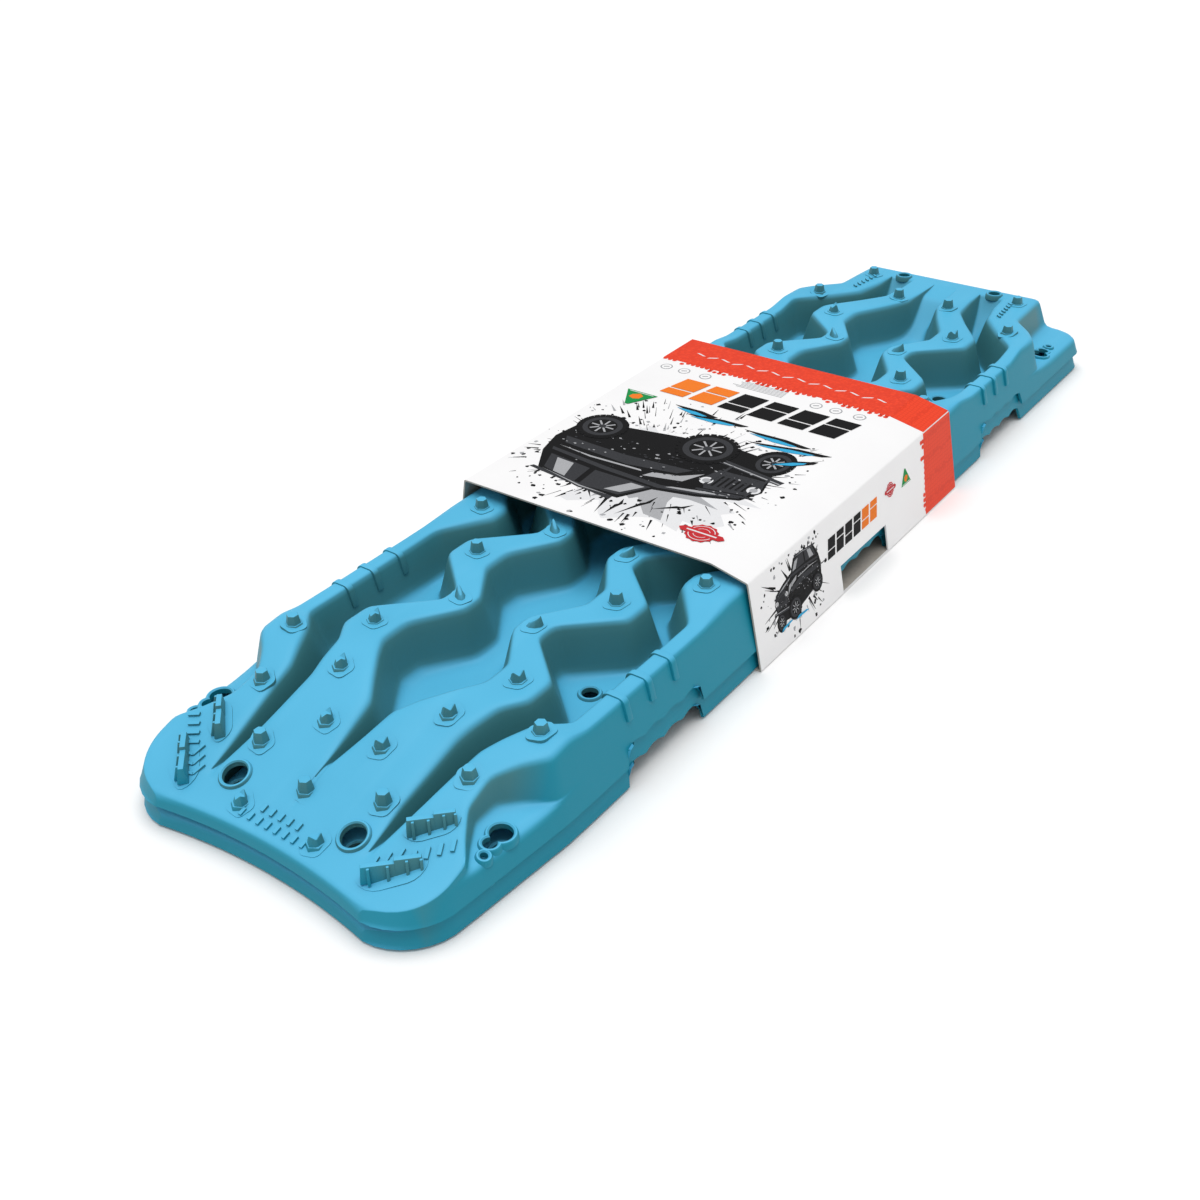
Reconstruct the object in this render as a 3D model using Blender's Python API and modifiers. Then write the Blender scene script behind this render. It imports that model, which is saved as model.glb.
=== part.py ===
# Two traction mats nested one on the other, held together by a cardboard sleeve.
# Metres, +Z up, X along the mats with the ramp end at -X, origin under the middle of the sleeve's base.
import bisect
import math

import bmesh
import bpy

LENGTH = 1.160  # one mat, end to end
HALF_WIDTH = 0.162  # at the foot of its side walls
TOP = 0.057  # top plane above the foot
PLATEAU = 0.054  # the same at the far end
LIP = 0.010  # height of the plate's edge at the ramp end
FLOOR = 0.012  # pocket floors above the foot
WALL = 0.0028
DRAFT = 0.258  # how far a wall leans for each unit of height
NEST = 0.018  # how far the upper mat sits above the lower one
LEDGE = 0.020  # low corner ledges that carry the keyholes
HANDLE_DROP = 0.005

RIB_PITCH = 0.128
FIRST_BEND = -0.367  # first outer bend of a rib
BEND_COUNT = 7
OUTER_FLAT = 0.014  # half of the straight stretch at a bend
INNER_FLAT = 0.010
RAMP_END = -LENGTH / 2
FAR_END = LENGTH / 2
FAR_LEAN = 0.050  # the stretch over which the far end's plateau is drawn back behind its wall
NEAR_RADIUS = 0.045
FAR_RADIUS = 0.018
DISH = 0.010  # how far the middle of the ramp end is hollowed

CLEAT_HEIGHT = 0.009
CLAW_HEIGHT = 0.0105
RAIL_CLEAT_HEIGHT = 0.0075

BOARD = 0.0016
GAP = 0.0003
MAT_BASE = BOARD + GAP
SLEEVE_FROM = -0.164
SLEEVE_TO = 0.220
SLEEVE_HALF_BASE = 0.168
SLEEVE_LEFT_FOLD = 0.151
SLEEVE_RIGHT_FOLD = -0.116
SLEEVE_SHOULDER = -0.152
WINDOW_MIDDLE = 0.0265
WINDOW_LENGTH = 0.089
WINDOW_HEIGHT = 0.030
WINDOW_REACH = 0.06
HEADROOM = 0.0012  # between the upper mat's highest claws and the sleeve, beside the gap
SLEEVE_TOP = MAT_BASE + NEST + TOP + CLAW_HEIGHT + GAP + HEADROOM + BOARD
SHOULDER_DROP = 0.008

SUNK = 0.0015  # how deep a moulded detail starts inside the wall
SKIRT = 0.005  # the skin runs this far below the foot until it is trimmed
NOTCH_HEIGHT = 0.016  # crown of the finger notches above the foot
NOTCH_SCALLOP = 0.003
FINGERS = 4  # scallops in each notch
THROUGH = 0.1  # height of the hole cutters, from below the foot to above the top plane

# Half-plan outlines as (x, |y|) corners; the stretch along the ribs is worked out below.
RAIL_START = [(-0.548, 0.081), (-0.500, 0.087), (-0.440, 0.096), (-0.400, 0.116)]
RIB_OUTER_START = [(-0.548, 0.078), (-0.500, 0.074), (-0.440, 0.074), (-0.400, 0.082)]
RIB_INNER_START = [(-0.548, 0.0015), (-0.500, 0.0020), (-0.440, 0.011), (-0.400, 0.040)]
RAIL_FINISH = [(0.450, 0.103), (0.480, 0.080), (0.515, 0.073), (0.555, 0.071)]
RIB_OUTER_FINISH = [(0.450, 0.068), (0.480, 0.048), (0.515, 0.044), (0.555, 0.043)]
RIB_INNER_FINISH = [(0.450, 0.032), (0.480, 0.018), (0.515, 0.016), (0.555, 0.015)]
HANDLE_INNER = 0.134
BLOCK_INNER = 0.101
RIB_OUTER_AT_BENDS = (0.095, 0.051)
RIB_INNER_AT_BENDS = (0.052, 0.025)
BLOCK_BENDS = (1, 4)  # the inner bends that stand beside a side block
HANDLES = ((-0.380, -0.226), (-0.098, 0.132), (0.288, 0.388))
NOTCHES = ((-0.348, -0.245), (-0.030, 0.073), (0.297, 0.399))


def interp(x, points):
    """The height of the line through points at x."""
    if x <= points[0][0]:
        return points[0][1]
    if x >= points[-1][0]:
        return points[-1][1]
    i = bisect.bisect_right([p[0] for p in points], x)
    (x0, y0), (x1, y1) = points[i - 1], points[i]
    return y0 + (y1 - y0) * (x - x0) / (x1 - x0)


def bend_line(start, finish, at_outer, at_inner):
    """A zigzag between a start and a finish, with a short straight at each bend."""
    points = list(start)
    for i in range(BEND_COUNT):
        x = FIRST_BEND + i * RIB_PITCH
        points += [(x - OUTER_FLAT, at_outer), (x + OUTER_FLAT, at_outer)]
        if i < BEND_COUNT - 1:
            x += RIB_PITCH / 2
            inner = at_inner(i)
            points += [(x - INNER_FLAT, inner), (x + INNER_FLAT, inner)]
    return points + list(finish)


RAIL_INNER = bend_line(
    RAIL_START,
    RAIL_FINISH,
    HANDLE_INNER,
    lambda i: BLOCK_INNER if i in BLOCK_BENDS else HANDLE_INNER,
)
RIB_OUTER = bend_line(
    RIB_OUTER_START, RIB_OUTER_FINISH, RIB_OUTER_AT_BENDS[0], lambda i: RIB_OUTER_AT_BENDS[1]
)
RIB_INNER = bend_line(
    RIB_INNER_START, RIB_INNER_FINISH, RIB_INNER_AT_BENDS[0], lambda i: RIB_INNER_AT_BENDS[1]
)

SCOOP = [(-0.520, 0.0), (-0.502, 0.014), (-0.482, 0.028), (-0.455, 0.030), (-0.437, 0.016), (-0.424, 0.0)]
SHOULDERS = [(0.450, 0.0), (0.468, 0.012), (0.492, 0.036), (FAR_END, 0.040)]


def top_height(x):
    return interp(x, [(RAMP_END, LIP), (-0.560, 0.015), (-0.415, TOP), (0.430, TOP), (FAR_END, PLATEAU)])


def rail_height(x):
    drop = max(interp(x, [(a - 0.012, 0), (a, 1), (b, 1), (b + 0.012, 0)]) for a, b in HANDLES)
    return top_height(x) - HANDLE_DROP * drop


def side_half(x):
    """Half-width of the foot before its corners are rounded."""
    return interp(x, [(RAMP_END, 0.149), (-0.42, HALF_WIDTH)])


def base_half(x):
    """Half-width of the foot, with both ends' corners rounded."""
    half = side_half(x)
    near = RAMP_END + NEAR_RADIUS - x
    far = x - (FAR_END - FAR_RADIUS)
    if near > 0:
        half -= NEAR_RADIUS - math.sqrt(max(0, NEAR_RADIUS**2 - near**2))
    if far > 0:
        half -= FAR_RADIUS - math.sqrt(max(0, FAR_RADIUS**2 - far**2))
    return half


def stations():
    """Where along the mat a cross-section is placed."""
    near = [RAMP_END + NEAR_RADIUS * (1 - math.sin(math.radians(a))) for a in (90, 65, 40, 18)]
    far = [FAR_END - FAR_RADIUS * (1 - math.sin(math.radians(a))) for a in (0, 35, 62, 90)]
    middle = {round(x, 5) for line in (RAIL_INNER, RIB_OUTER, RIB_INNER) for x, _ in line}
    middle |= {x for x, _ in SCOOP} | {x for x, _ in SHOULDERS[:-1]}
    return sorted(near + [x for x in middle if near[-1] + 0.002 < x < far[0] - 0.002] + far)


def mitre(line, x, side):
    """The direction in which a drafted wall's foot leaves its top edge, at one point of an outline."""
    step = 0.0012

    def leaning(a, b):
        dx, dy = b - a, line(b) - line(a)
        length = math.hypot(dx, dy)
        return -dy / length * side, dx / length * side

    ax, ay = leaning(x - step, x)
    bx, by = leaning(x, x + step)
    scale = 2 / ((ax + bx) ** 2 + (ay + by) ** 2)
    return (ax + bx) * scale, (ay + by) * scale


def rail_edge(x):
    """The rail's outer top edge, as half the width there."""
    cut = interp(x, SCOOP) if x < 0 else interp(x, SHOULDERS)
    return (base_half(x) if x < 0 else side_half(x)) - DRAFT * rail_height(x) - cut


def rail_inner(x):
    return interp(x, RAIL_INNER)


def rib_outer(x):
    return interp(x, RIB_OUTER)


def rib_inner(x):
    return interp(x, RIB_INNER)


def pocket(x, high, low, floor):
    """The feet of the two walls of the pocket between the outlines high and low, or the centre line."""
    top = top_height(x)
    wide = high(x) - (low(x) if low else 0)
    mx, my = mitre(high, x, -1)
    nx, ny = mitre(low, x, 1) if low else (0, 0)
    lean = abs(my) + abs(ny)
    left_flat = 0.003 if low else 0.0015
    depth = max(0, min(top - floor, (wide - left_flat) / (DRAFT * lean)))
    reach = DRAFT * depth
    foot = (x + mx * reach, high(x) + my * reach, top - depth)
    if not low:
        return foot, (foot[0], 0, top - depth)
    return foot, (x + nx * reach, low(x) + ny * reach, top - depth)


def side_floor(x):
    return interp(x, [(0.500, FLOOR), (0.555, TOP)])


def middle_floor(x):
    return interp(x, [(0.465, FLOOR), (0.525, TOP)])


def half_section(x):
    """A cross-section's points from the foot of the side wall to the centre line."""
    top, rail = top_height(x), rail_height(x)
    foot = base_half(x)
    wall_x, wall_y = (0, -1) if x in (RAMP_END, FAR_END) else mitre(base_half, x, -1)
    cut = interp(x, SCOOP) if x < 0 else interp(x, SHOULDERS)

    def on_wall(z):
        return x + wall_x * DRAFT * z, foot + wall_y * DRAFT * z, z

    ledge = on_wall(min(LEDGE + 0.002, rail * 0.8))
    if cut > 0 or x in (SCOOP[0][0], SCOOP[-1][0], SHOULDERS[0][0]):
        mx, my = (0, 1) if x == FAR_END else mitre(rail_edge, x, 1)
        reach = DRAFT * (rail - LEDGE)
        ledge = (x + mx * reach, min(rail_edge(x) + my * reach, on_wall(LEDGE)[1] - 0.001), LEDGE)
    edge = on_wall(rail)
    if cut > 0:
        edge = (x, rail_edge(x), rail)
    outer, inner = pocket(x, rail_inner, rib_outer, side_floor(x))
    middle, centre = pocket(x, rib_inner, None, middle_floor(x))
    return [
        on_wall(-SKIRT),
        on_wall(min(LEDGE, rail * 0.6)),
        ledge,
        edge,
        (x, min(rail_inner(x), edge[1] - 0.008), rail),
        outer,
        inner,
        (x, rib_outer(x), top),
        (x, rib_inner(x), top),
        middle,
        centre,
    ]


def settled(x, y, z):
    """A point of the skin with the ends' walls leaning back and the ramp end hollowed in the middle."""
    near = interp(x, [(RAMP_END, 1), (RAMP_END + 0.075, 0)])
    far = interp(x, [(FAR_END - FAR_LEAN, 0), (FAR_END, 1)])
    across = 1 - min(1, abs(y) / 0.104) ** 2
    return x + (DISH * across + DRAFT * z) * near - DRAFT * z * far, y, z


def seat_height(x, y):
    """The height of the plate at a point, where the ends' lean and hollow have moved it."""
    at = x
    for _ in range(6):
        at += x - settled(at, y, top_height(at))[0]
    return top_height(at)


def mat_skin():
    """The outer skin of one mat: a grid drawn along the outlines, mirrored about the centre line."""
    rows = [half_section(x) for x in stations()]
    for row, at in ((rows[0], 0), (rows[-1], len(rows) + 1)):
        rows.insert(at, [(x, y, -SKIRT) for x, y, _ in row])
    columns = len(rows[0])
    bm = bmesh.new()
    bmesh.ops.create_grid(bm, x_segments=len(rows) - 1, y_segments=columns - 1, size=0.5)
    for vert in bm.verts:
        i = round((vert.co.x + 0.5) * (len(rows) - 1))
        k = round((0.5 - vert.co.y) * (columns - 1))
        vert.co = settled(*rows[i][k])
    bmesh.ops.mirror(bm, geom=bm.verts[:] + bm.edges[:] + bm.faces[:], axis="Y", merge_dist=0.00005)
    bmesh.ops.remove_doubles(bm, verts=bm.verts, dist=0.00005)
    bmesh.ops.recalc_face_normals(bm, faces=bm.faces)
    top = max(bm.faces, key=lambda face: face.calc_center_median().z)
    if top.normal.z < 0:
        bmesh.ops.reverse_faces(bm, faces=bm.faces)
    # Both sides of the wall have to be split the same way, so that nested mats keep their clearance.
    bmesh.ops.triangulate(bm, faces=bm.faces)
    return bm


def mesh_object(name, bm, collection):
    mesh = bpy.data.meshes.new(name)
    bm.to_mesh(mesh)
    bm.free()
    obj = bpy.data.objects.new(name, mesh)
    collection.objects.link(obj)
    return obj


def solidify(obj, thickness):
    modifier = obj.modifiers.new("wall", "SOLIDIFY")
    modifier.thickness = thickness
    modifier.offset = -1
    modifier.use_even_offset = True
    modifier.thickness_clamp = 0


def add_boolean(obj, cutter, operation):
    modifier = obj.modifiers.new(cutter.name, "BOOLEAN")
    modifier.operation = operation
    modifier.object = cutter
    modifier.solver = "EXACT"


def cone(bm, at, low, high, depth, sides, turn=0.0, stretch=1.0):
    """A peg or a cutter that stands on the point at."""
    made = bmesh.ops.create_cone(bm, cap_ends=True, segments=sides, radius1=low, radius2=high, depth=depth)
    for vert in made["verts"]:
        x, y, z = vert.co.x, vert.co.y * stretch, vert.co.z + depth / 2
        vert.co = (
            at[0] + x * math.cos(turn) - y * math.sin(turn),
            at[1] + x * math.sin(turn) + y * math.cos(turn),
            at[2] + z,
        )


def cleats():
    """(x, y, foot radius, top radius, height, stretch) of every moulded peg, for one half."""
    pegs = []
    for x, y in ((-0.552, 0.038), (-0.506, 0.062), (-0.470, 0.028), (-0.425, 0.055), (0.482, 0.031)):
        pegs.append((x, y, 0.009, 0.0045, CLEAT_HEIGHT, 1))
    for x, y in ((-0.462, 0.105), (-0.406, 0.126), (-0.177, 0.120), (0.230, 0.120), (0.448, 0.118)):
        pegs.append((x, y, 0.009, 0.0045, RAIL_CLEAT_HEIGHT, 1))
    pegs.append((0.538, 0.092, 0.009, 0.0045, RAIL_CLEAT_HEIGHT, 1))
    for i in range(BEND_COUNT):
        pegs.append((FIRST_BEND + i * RIB_PITCH, 0.0735, 0.009, 0.0045, CLEAT_HEIGHT, 1))
        if i < BEND_COUNT - 1:
            pegs.append((FIRST_BEND + (i + 0.5) * RIB_PITCH, 0.038, 0.010, 0.004, CLAW_HEIGHT, 0.6))
    for x, y in ((-0.545, 0.106), (-0.505, 0.107)):
        pegs.append((x, y, 0.010, 0.006, CLEAT_HEIGHT, 1.7))
    return pegs


def cleat_bodies():
    bm = bmesh.new()
    for x, y, low, high, tall, stretch in cleats():
        for side in (-1, 1):
            cone(bm, (x, y * side, seat_height(x, y) - SUNK), low, high, tall + SUNK, 6, 0, stretch)
    cone(bm, (-0.522, 0, seat_height(-0.522, 0) - SUNK), 0.011, 0.005, CLEAT_HEIGHT + SUNK, 6)
    return bm


def hole_cutters():
    """Rope and pin holes, keyholes, eyelets and drains, for both halves."""
    bm = bmesh.new()
    for side in (-1, 1):
        for x, y, r in ((-0.536, 0.060, 0.010), (0.552, 0.058, 0.0065)):
            cone(bm, (x, y * side, -0.01), r, r, THROUGH, 12)
        for x, y, r in ((-0.476, 0.143, 0.0085), (0.492, 0.142, 0.0085)):
            cone(bm, (x, y * side, -0.01), r, r, THROUGH, 12)
        for x, y, r in ((-0.500, 0.147, 0.003), (0.523, 0.143, 0.003)):
            cone(bm, (x, y * side, -0.01), r, r, THROUGH, 8)
        for i in (0, 2, 3, 5):
            x = FIRST_BEND + (i + 0.5) * RIB_PITCH
            cone(bm, (x, 0.092 * side, -0.01), 0.007, 0.007, 0.04, 8)
    return bm


def grip_cutters():
    """Scalloped finger notches, cut upwards through the foot of the side walls."""
    bm = bmesh.new()
    for start, finish in NOTCHES:
        outline = [(finish, -0.01), (start, -0.01)]
        for i in range(FINGERS * 4 + 1):
            crown = NOTCH_HEIGHT - NOTCH_SCALLOP * (1 - abs(math.sin(math.pi * i / 4)))
            outline.append((start + (finish - start) * i / (FINGERS * 4), crown))
        for inside, outside in ((0.140, 0.180), (-0.180, -0.140)):
            face = bm.faces.new([bm.verts.new((x, inside, z)) for x, z in outline])
            made = bmesh.ops.extrude_face_region(bm, geom=[face])
            moved = [item for item in made["geom"] if isinstance(item, bmesh.types.BMVert)]
            bmesh.ops.translate(bm, verts=moved, vec=(0, outside - inside, 0))
    bmesh.ops.recalc_face_normals(bm, faces=bm.faces)
    return bm


def foot_trim():
    """Everything below the plane that a mat stands on."""
    bm = bmesh.new()
    slab = bmesh.ops.create_cube(bm, size=1)
    bmesh.ops.scale(bm, verts=slab["verts"], vec=(LENGTH * 1.2, HALF_WIDTH * 3, 0.04))
    bmesh.ops.translate(bm, verts=slab["verts"], vec=(0, 0, -0.02))
    return bm


def make_mat(name, base, material, collection, tools):
    mat = mesh_object(name, mat_skin(), collection)
    solidify(mat, WALL)
    for label, make, operation in (
        ("foot", foot_trim, "DIFFERENCE"),
        ("cleats", cleat_bodies, "UNION"),
        ("holes", hole_cutters, "DIFFERENCE"),
        ("grips", grip_cutters, "DIFFERENCE"),
    ):
        tool = mesh_object(f"{name}_{label}", make(), tools)
        tool.hide_render = True
        tool.display_type = "WIRE"
        tool.location.z = base
        add_boolean(mat, tool, operation)
    mat.location.z = base
    mat.data.materials.append(material)
    return mat


def sleeve_outline():
    """The belt's outer section, with its sloped shoulder on the -Y side, as (y, z) corners."""
    return [
        (-SLEEVE_HALF_BASE, 0),
        (SLEEVE_HALF_BASE, 0),
        (SLEEVE_LEFT_FOLD, SLEEVE_TOP),
        (SLEEVE_RIGHT_FOLD, SLEEVE_TOP),
        (SLEEVE_SHOULDER, SLEEVE_TOP - SHOULDER_DROP),
    ]


def make_sleeve(material, collection, tools):
    bm = bmesh.new()
    ring = [bm.verts.new((SLEEVE_FROM, y, z)) for y, z in sleeve_outline()]
    edges = [bm.edges.new((ring[i - 1], ring[i])) for i in range(len(ring))]
    along = bmesh.ops.extrude_edge_only(bm, edges=edges)
    moved = [item for item in along["geom"] if isinstance(item, bmesh.types.BMVert)]
    bmesh.ops.translate(bm, verts=moved, vec=(SLEEVE_TO - SLEEVE_FROM, 0, 0))
    bmesh.ops.recalc_face_normals(bm, faces=bm.faces)
    lowest = min(bm.faces, key=lambda face: face.calc_center_median().z)
    if lowest.normal.z > 0:
        bmesh.ops.reverse_faces(bm, faces=bm.faces)
    sleeve = mesh_object("sleeve", bm, collection)
    solidify(sleeve, BOARD)
    bm = bmesh.new()
    window = bmesh.ops.create_cube(bm, size=1)
    bmesh.ops.scale(bm, verts=window["verts"], vec=(WINDOW_LENGTH, WINDOW_REACH, WINDOW_HEIGHT))
    bmesh.ops.translate(bm, verts=window["verts"], vec=(WINDOW_MIDDLE, -SLEEVE_HALF_BASE, 0.0))
    tool = mesh_object("sleeve_window", bm, tools)
    tool.hide_render = True
    tool.display_type = "WIRE"
    tool.location.z = 0.015 - BOARD
    add_boolean(sleeve, tool, "DIFFERENCE")
    sleeve.data.materials.append(material)
    return sleeve


def material(name, colour, roughness):
    made = bpy.data.materials.new(name)
    made.use_nodes = True
    shader = made.node_tree.nodes["Principled BSDF"]
    shader.inputs["Base Color"].default_value = (*colour, 1)
    shader.inputs["Roughness"].default_value = roughness
    shader.inputs["Metallic"].default_value = 0
    return made


def main():
    for obj in list(bpy.data.objects):
        bpy.data.objects.remove(obj)
    scene = bpy.context.scene
    parts = bpy.data.collections.new("traction_mats")
    tools = bpy.data.collections.new("cutters")
    scene.collection.children.link(parts)
    scene.collection.children.link(tools)
    nylon = material("moulded_blue_nylon", (0.12, 0.54, 0.81), 0.5)
    board = material("printed_board", (0.86, 0.85, 0.85), 0.45)
    make_mat("lower_mat", MAT_BASE, nylon, parts, tools)
    make_mat("upper_mat", MAT_BASE + NEST, nylon, parts, tools)
    make_sleeve(board, parts, tools)


main()
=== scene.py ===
import bisect
import math
import random

import bmesh
import bpy
from mathutils import Matrix, Vector
from mathutils.bvhtree import BVHTree


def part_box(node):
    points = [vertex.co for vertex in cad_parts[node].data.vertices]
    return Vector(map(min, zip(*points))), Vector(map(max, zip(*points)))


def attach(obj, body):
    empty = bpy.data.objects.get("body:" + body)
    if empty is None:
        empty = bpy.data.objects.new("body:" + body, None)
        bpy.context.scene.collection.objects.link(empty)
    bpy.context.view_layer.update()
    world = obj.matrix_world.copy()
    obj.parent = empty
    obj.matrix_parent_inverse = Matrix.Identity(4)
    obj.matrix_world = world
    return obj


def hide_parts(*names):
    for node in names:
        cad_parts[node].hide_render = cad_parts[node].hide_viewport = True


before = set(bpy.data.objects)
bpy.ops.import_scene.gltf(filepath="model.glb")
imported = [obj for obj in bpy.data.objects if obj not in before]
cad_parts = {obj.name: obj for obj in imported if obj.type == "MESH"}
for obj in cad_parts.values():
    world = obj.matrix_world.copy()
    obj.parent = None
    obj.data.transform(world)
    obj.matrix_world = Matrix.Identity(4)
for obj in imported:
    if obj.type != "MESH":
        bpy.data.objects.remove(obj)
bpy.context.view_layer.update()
scene = bpy.context.scene


cameraSettings = {
    "place": (-1.0419, -0.6611, 0.7256),
    "turn": 36.967,  # degrees, from +X towards +Y
    "dip": 32.974,
    "roll": 1.920,
    "lens": 43.93,
    "sensor": 36.0,
}


def makeCamera():
    turn, dip = math.radians(cameraSettings["turn"]), math.radians(cameraSettings["dip"])
    ahead = Vector((math.cos(dip) * math.cos(turn), math.cos(dip) * math.sin(turn), -math.sin(dip)))
    data = bpy.data.cameras.new("studioCamera")
    data.lens = cameraSettings["lens"]
    data.sensor_width = cameraSettings["sensor"]
    data.clip_end = 50
    camera = bpy.data.objects.new("studioCamera", data)
    camera.rotation_mode = "QUATERNION"
    roll = Matrix.Rotation(-math.radians(cameraSettings["roll"]), 3, "Z").to_quaternion()
    camera.rotation_quaternion = ahead.to_track_quat("-Z", "Y") @ roll
    camera.location = cameraSettings["place"]
    scene.collection.objects.link(camera)
    scene.camera = camera


makeCamera()
print("camera made")


def linear(code):  # an sRGB hex value as linear red, green, blue and alpha
    parts = [int(code[i:i + 2], 16) / 255 for i in (1, 3, 5)]
    return tuple(c / 12.92 if c <= 0.04045 else ((c + 0.055) / 1.055) ** 2.4 for c in parts) + (1,)


def addNode(tree, kind, settings=None, links=None):
    node = tree.nodes.new(kind)
    for name, value in (settings or {}).items():
        if isinstance(name, str) and name not in node.inputs:
            setattr(node, name, value)
        else:
            node.inputs[name].default_value = value
    for name, socket in (links or {}).items():
        tree.links.new(socket, node.inputs[name])
    return node


def newMaterial(name, settings):
    made = bpy.data.materials.new(name)
    made.use_nodes = True
    shader = made.node_tree.nodes["Principled BSDF"]
    for key, value in settings.items():
        shader.inputs[key].default_value = value
    return made, made.node_tree, shader


def newObject(name, bm, materials, body=None):
    mesh = bpy.data.meshes.new(name)
    bm.to_mesh(mesh)
    bm.free()
    obj = bpy.data.objects.new(name, mesh)
    scene.collection.objects.link(obj)
    for one in materials:
        mesh.materials.append(one)
    if body:
        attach(obj, body)
    return obj


def applied(obj, sharp):
    # the modifiers become the mesh
    graph = bpy.context.evaluated_depsgraph_get()
    mesh = bpy.data.meshes.new_from_object(obj.evaluated_get(graph))
    old = obj.data
    obj.modifiers.clear()
    obj.data = mesh
    mesh.name = old.name + "Mesh"
    smoothed(obj, sharp)


def smoothed(obj, sharp):
    # edges sharper than this many degrees stay crisp
    obj.data.shade_smooth()
    obj.data.set_sharp_from_angle(angle=math.radians(sharp))


def bevelled(bm, offset):
    bmesh.ops.bevel(
        bm, geom=bm.edges[:], offset=offset, affect="EDGES", segments=2, profile=0.5, material=-1,
        clamp_overlap=True,
    )


def block(bm, cornerAt):
    # a cube whose corners are placed by cornerAt(x, y, high), where x and y are -0.5 or 0.5
    verts = bmesh.ops.create_cube(bm, size=1)["verts"]
    for vert in verts:
        vert.co = cornerAt(vert.co.x, vert.co.y, vert.co.z > 0)
    return verts


def swept(bm, items, vec):
    # extrudes faces or edges along a vector and gives back the new verts
    if isinstance(items[0], bmesh.types.BMFace):
        made = bmesh.ops.extrude_face_region(bm, geom=items)
    else:
        made = bmesh.ops.extrude_edge_only(bm, edges=items)
    verts = [item for item in made["geom"] if isinstance(item, bmesh.types.BMVert)]
    bmesh.ops.translate(bm, verts=verts, vec=vec)
    return verts


def cutAway(obj, bm, sharp):
    # cuts the closed shapes out of the object and turns its modifiers into its mesh
    cutter = newObject(obj.name + "Cutter", bm, [])
    cut = obj.modifiers.new("cut", "BOOLEAN")
    cut.object = cutter
    cut.solver = "MANIFOLD"
    applied(obj, sharp)
    bpy.data.objects.remove(cutter)


def interp(x, points):
    if x <= points[0][0]:
        return points[0][1]
    if x >= points[-1][0]:
        return points[-1][1]
    i = bisect.bisect_right([p[0] for p in points], x)
    (x0, y0), (x1, y1) = points[i - 1], points[i]
    return y0 + (y1 - y0) * (x - x0) / (x1 - x0)


def fineRelief(tree, shader, where, settings, strength, height):
    # noise that drives a fine bump; the noise is given back for the colour or the gloss to share
    noise = addNode(tree, "ShaderNodeTexNoise", settings, {"Vector": where})
    bump = addNode(
        tree, "ShaderNodeBump", {"Strength": strength, "Distance": height}, {"Height": noise.outputs["Fac"]}
    )
    tree.links.new(bump.outputs["Normal"], shader.inputs["Normal"])
    return noise.outputs["Fac"]


nylonLook = {
    "tops": ("#50B3DA", "#57BAE2"),
    "flowMark": "#7BD2F6",
    # painted shade: the next two are darker wall tints that stand in for the shade on the walls and in the
    # pockets
    "pocketWallPaintedShade": "#45838B",
    "outerWallPaintedShade": "#158AA2",
    "outerShadeFrom": (0.128, 0.148),  # how far off the centre line the outer walls' lighter painted shade comes in, in place of the pockets' deeper painted shade
    "endFrom": (0.548, 0.562),  # the same, towards both ends
    "shadeLevelFrom": (0.30, 0.95),  # the normal's height over which a wall's painted shade gives way to the top's colour
    "roughness": (0.40, 0.54),
}


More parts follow.
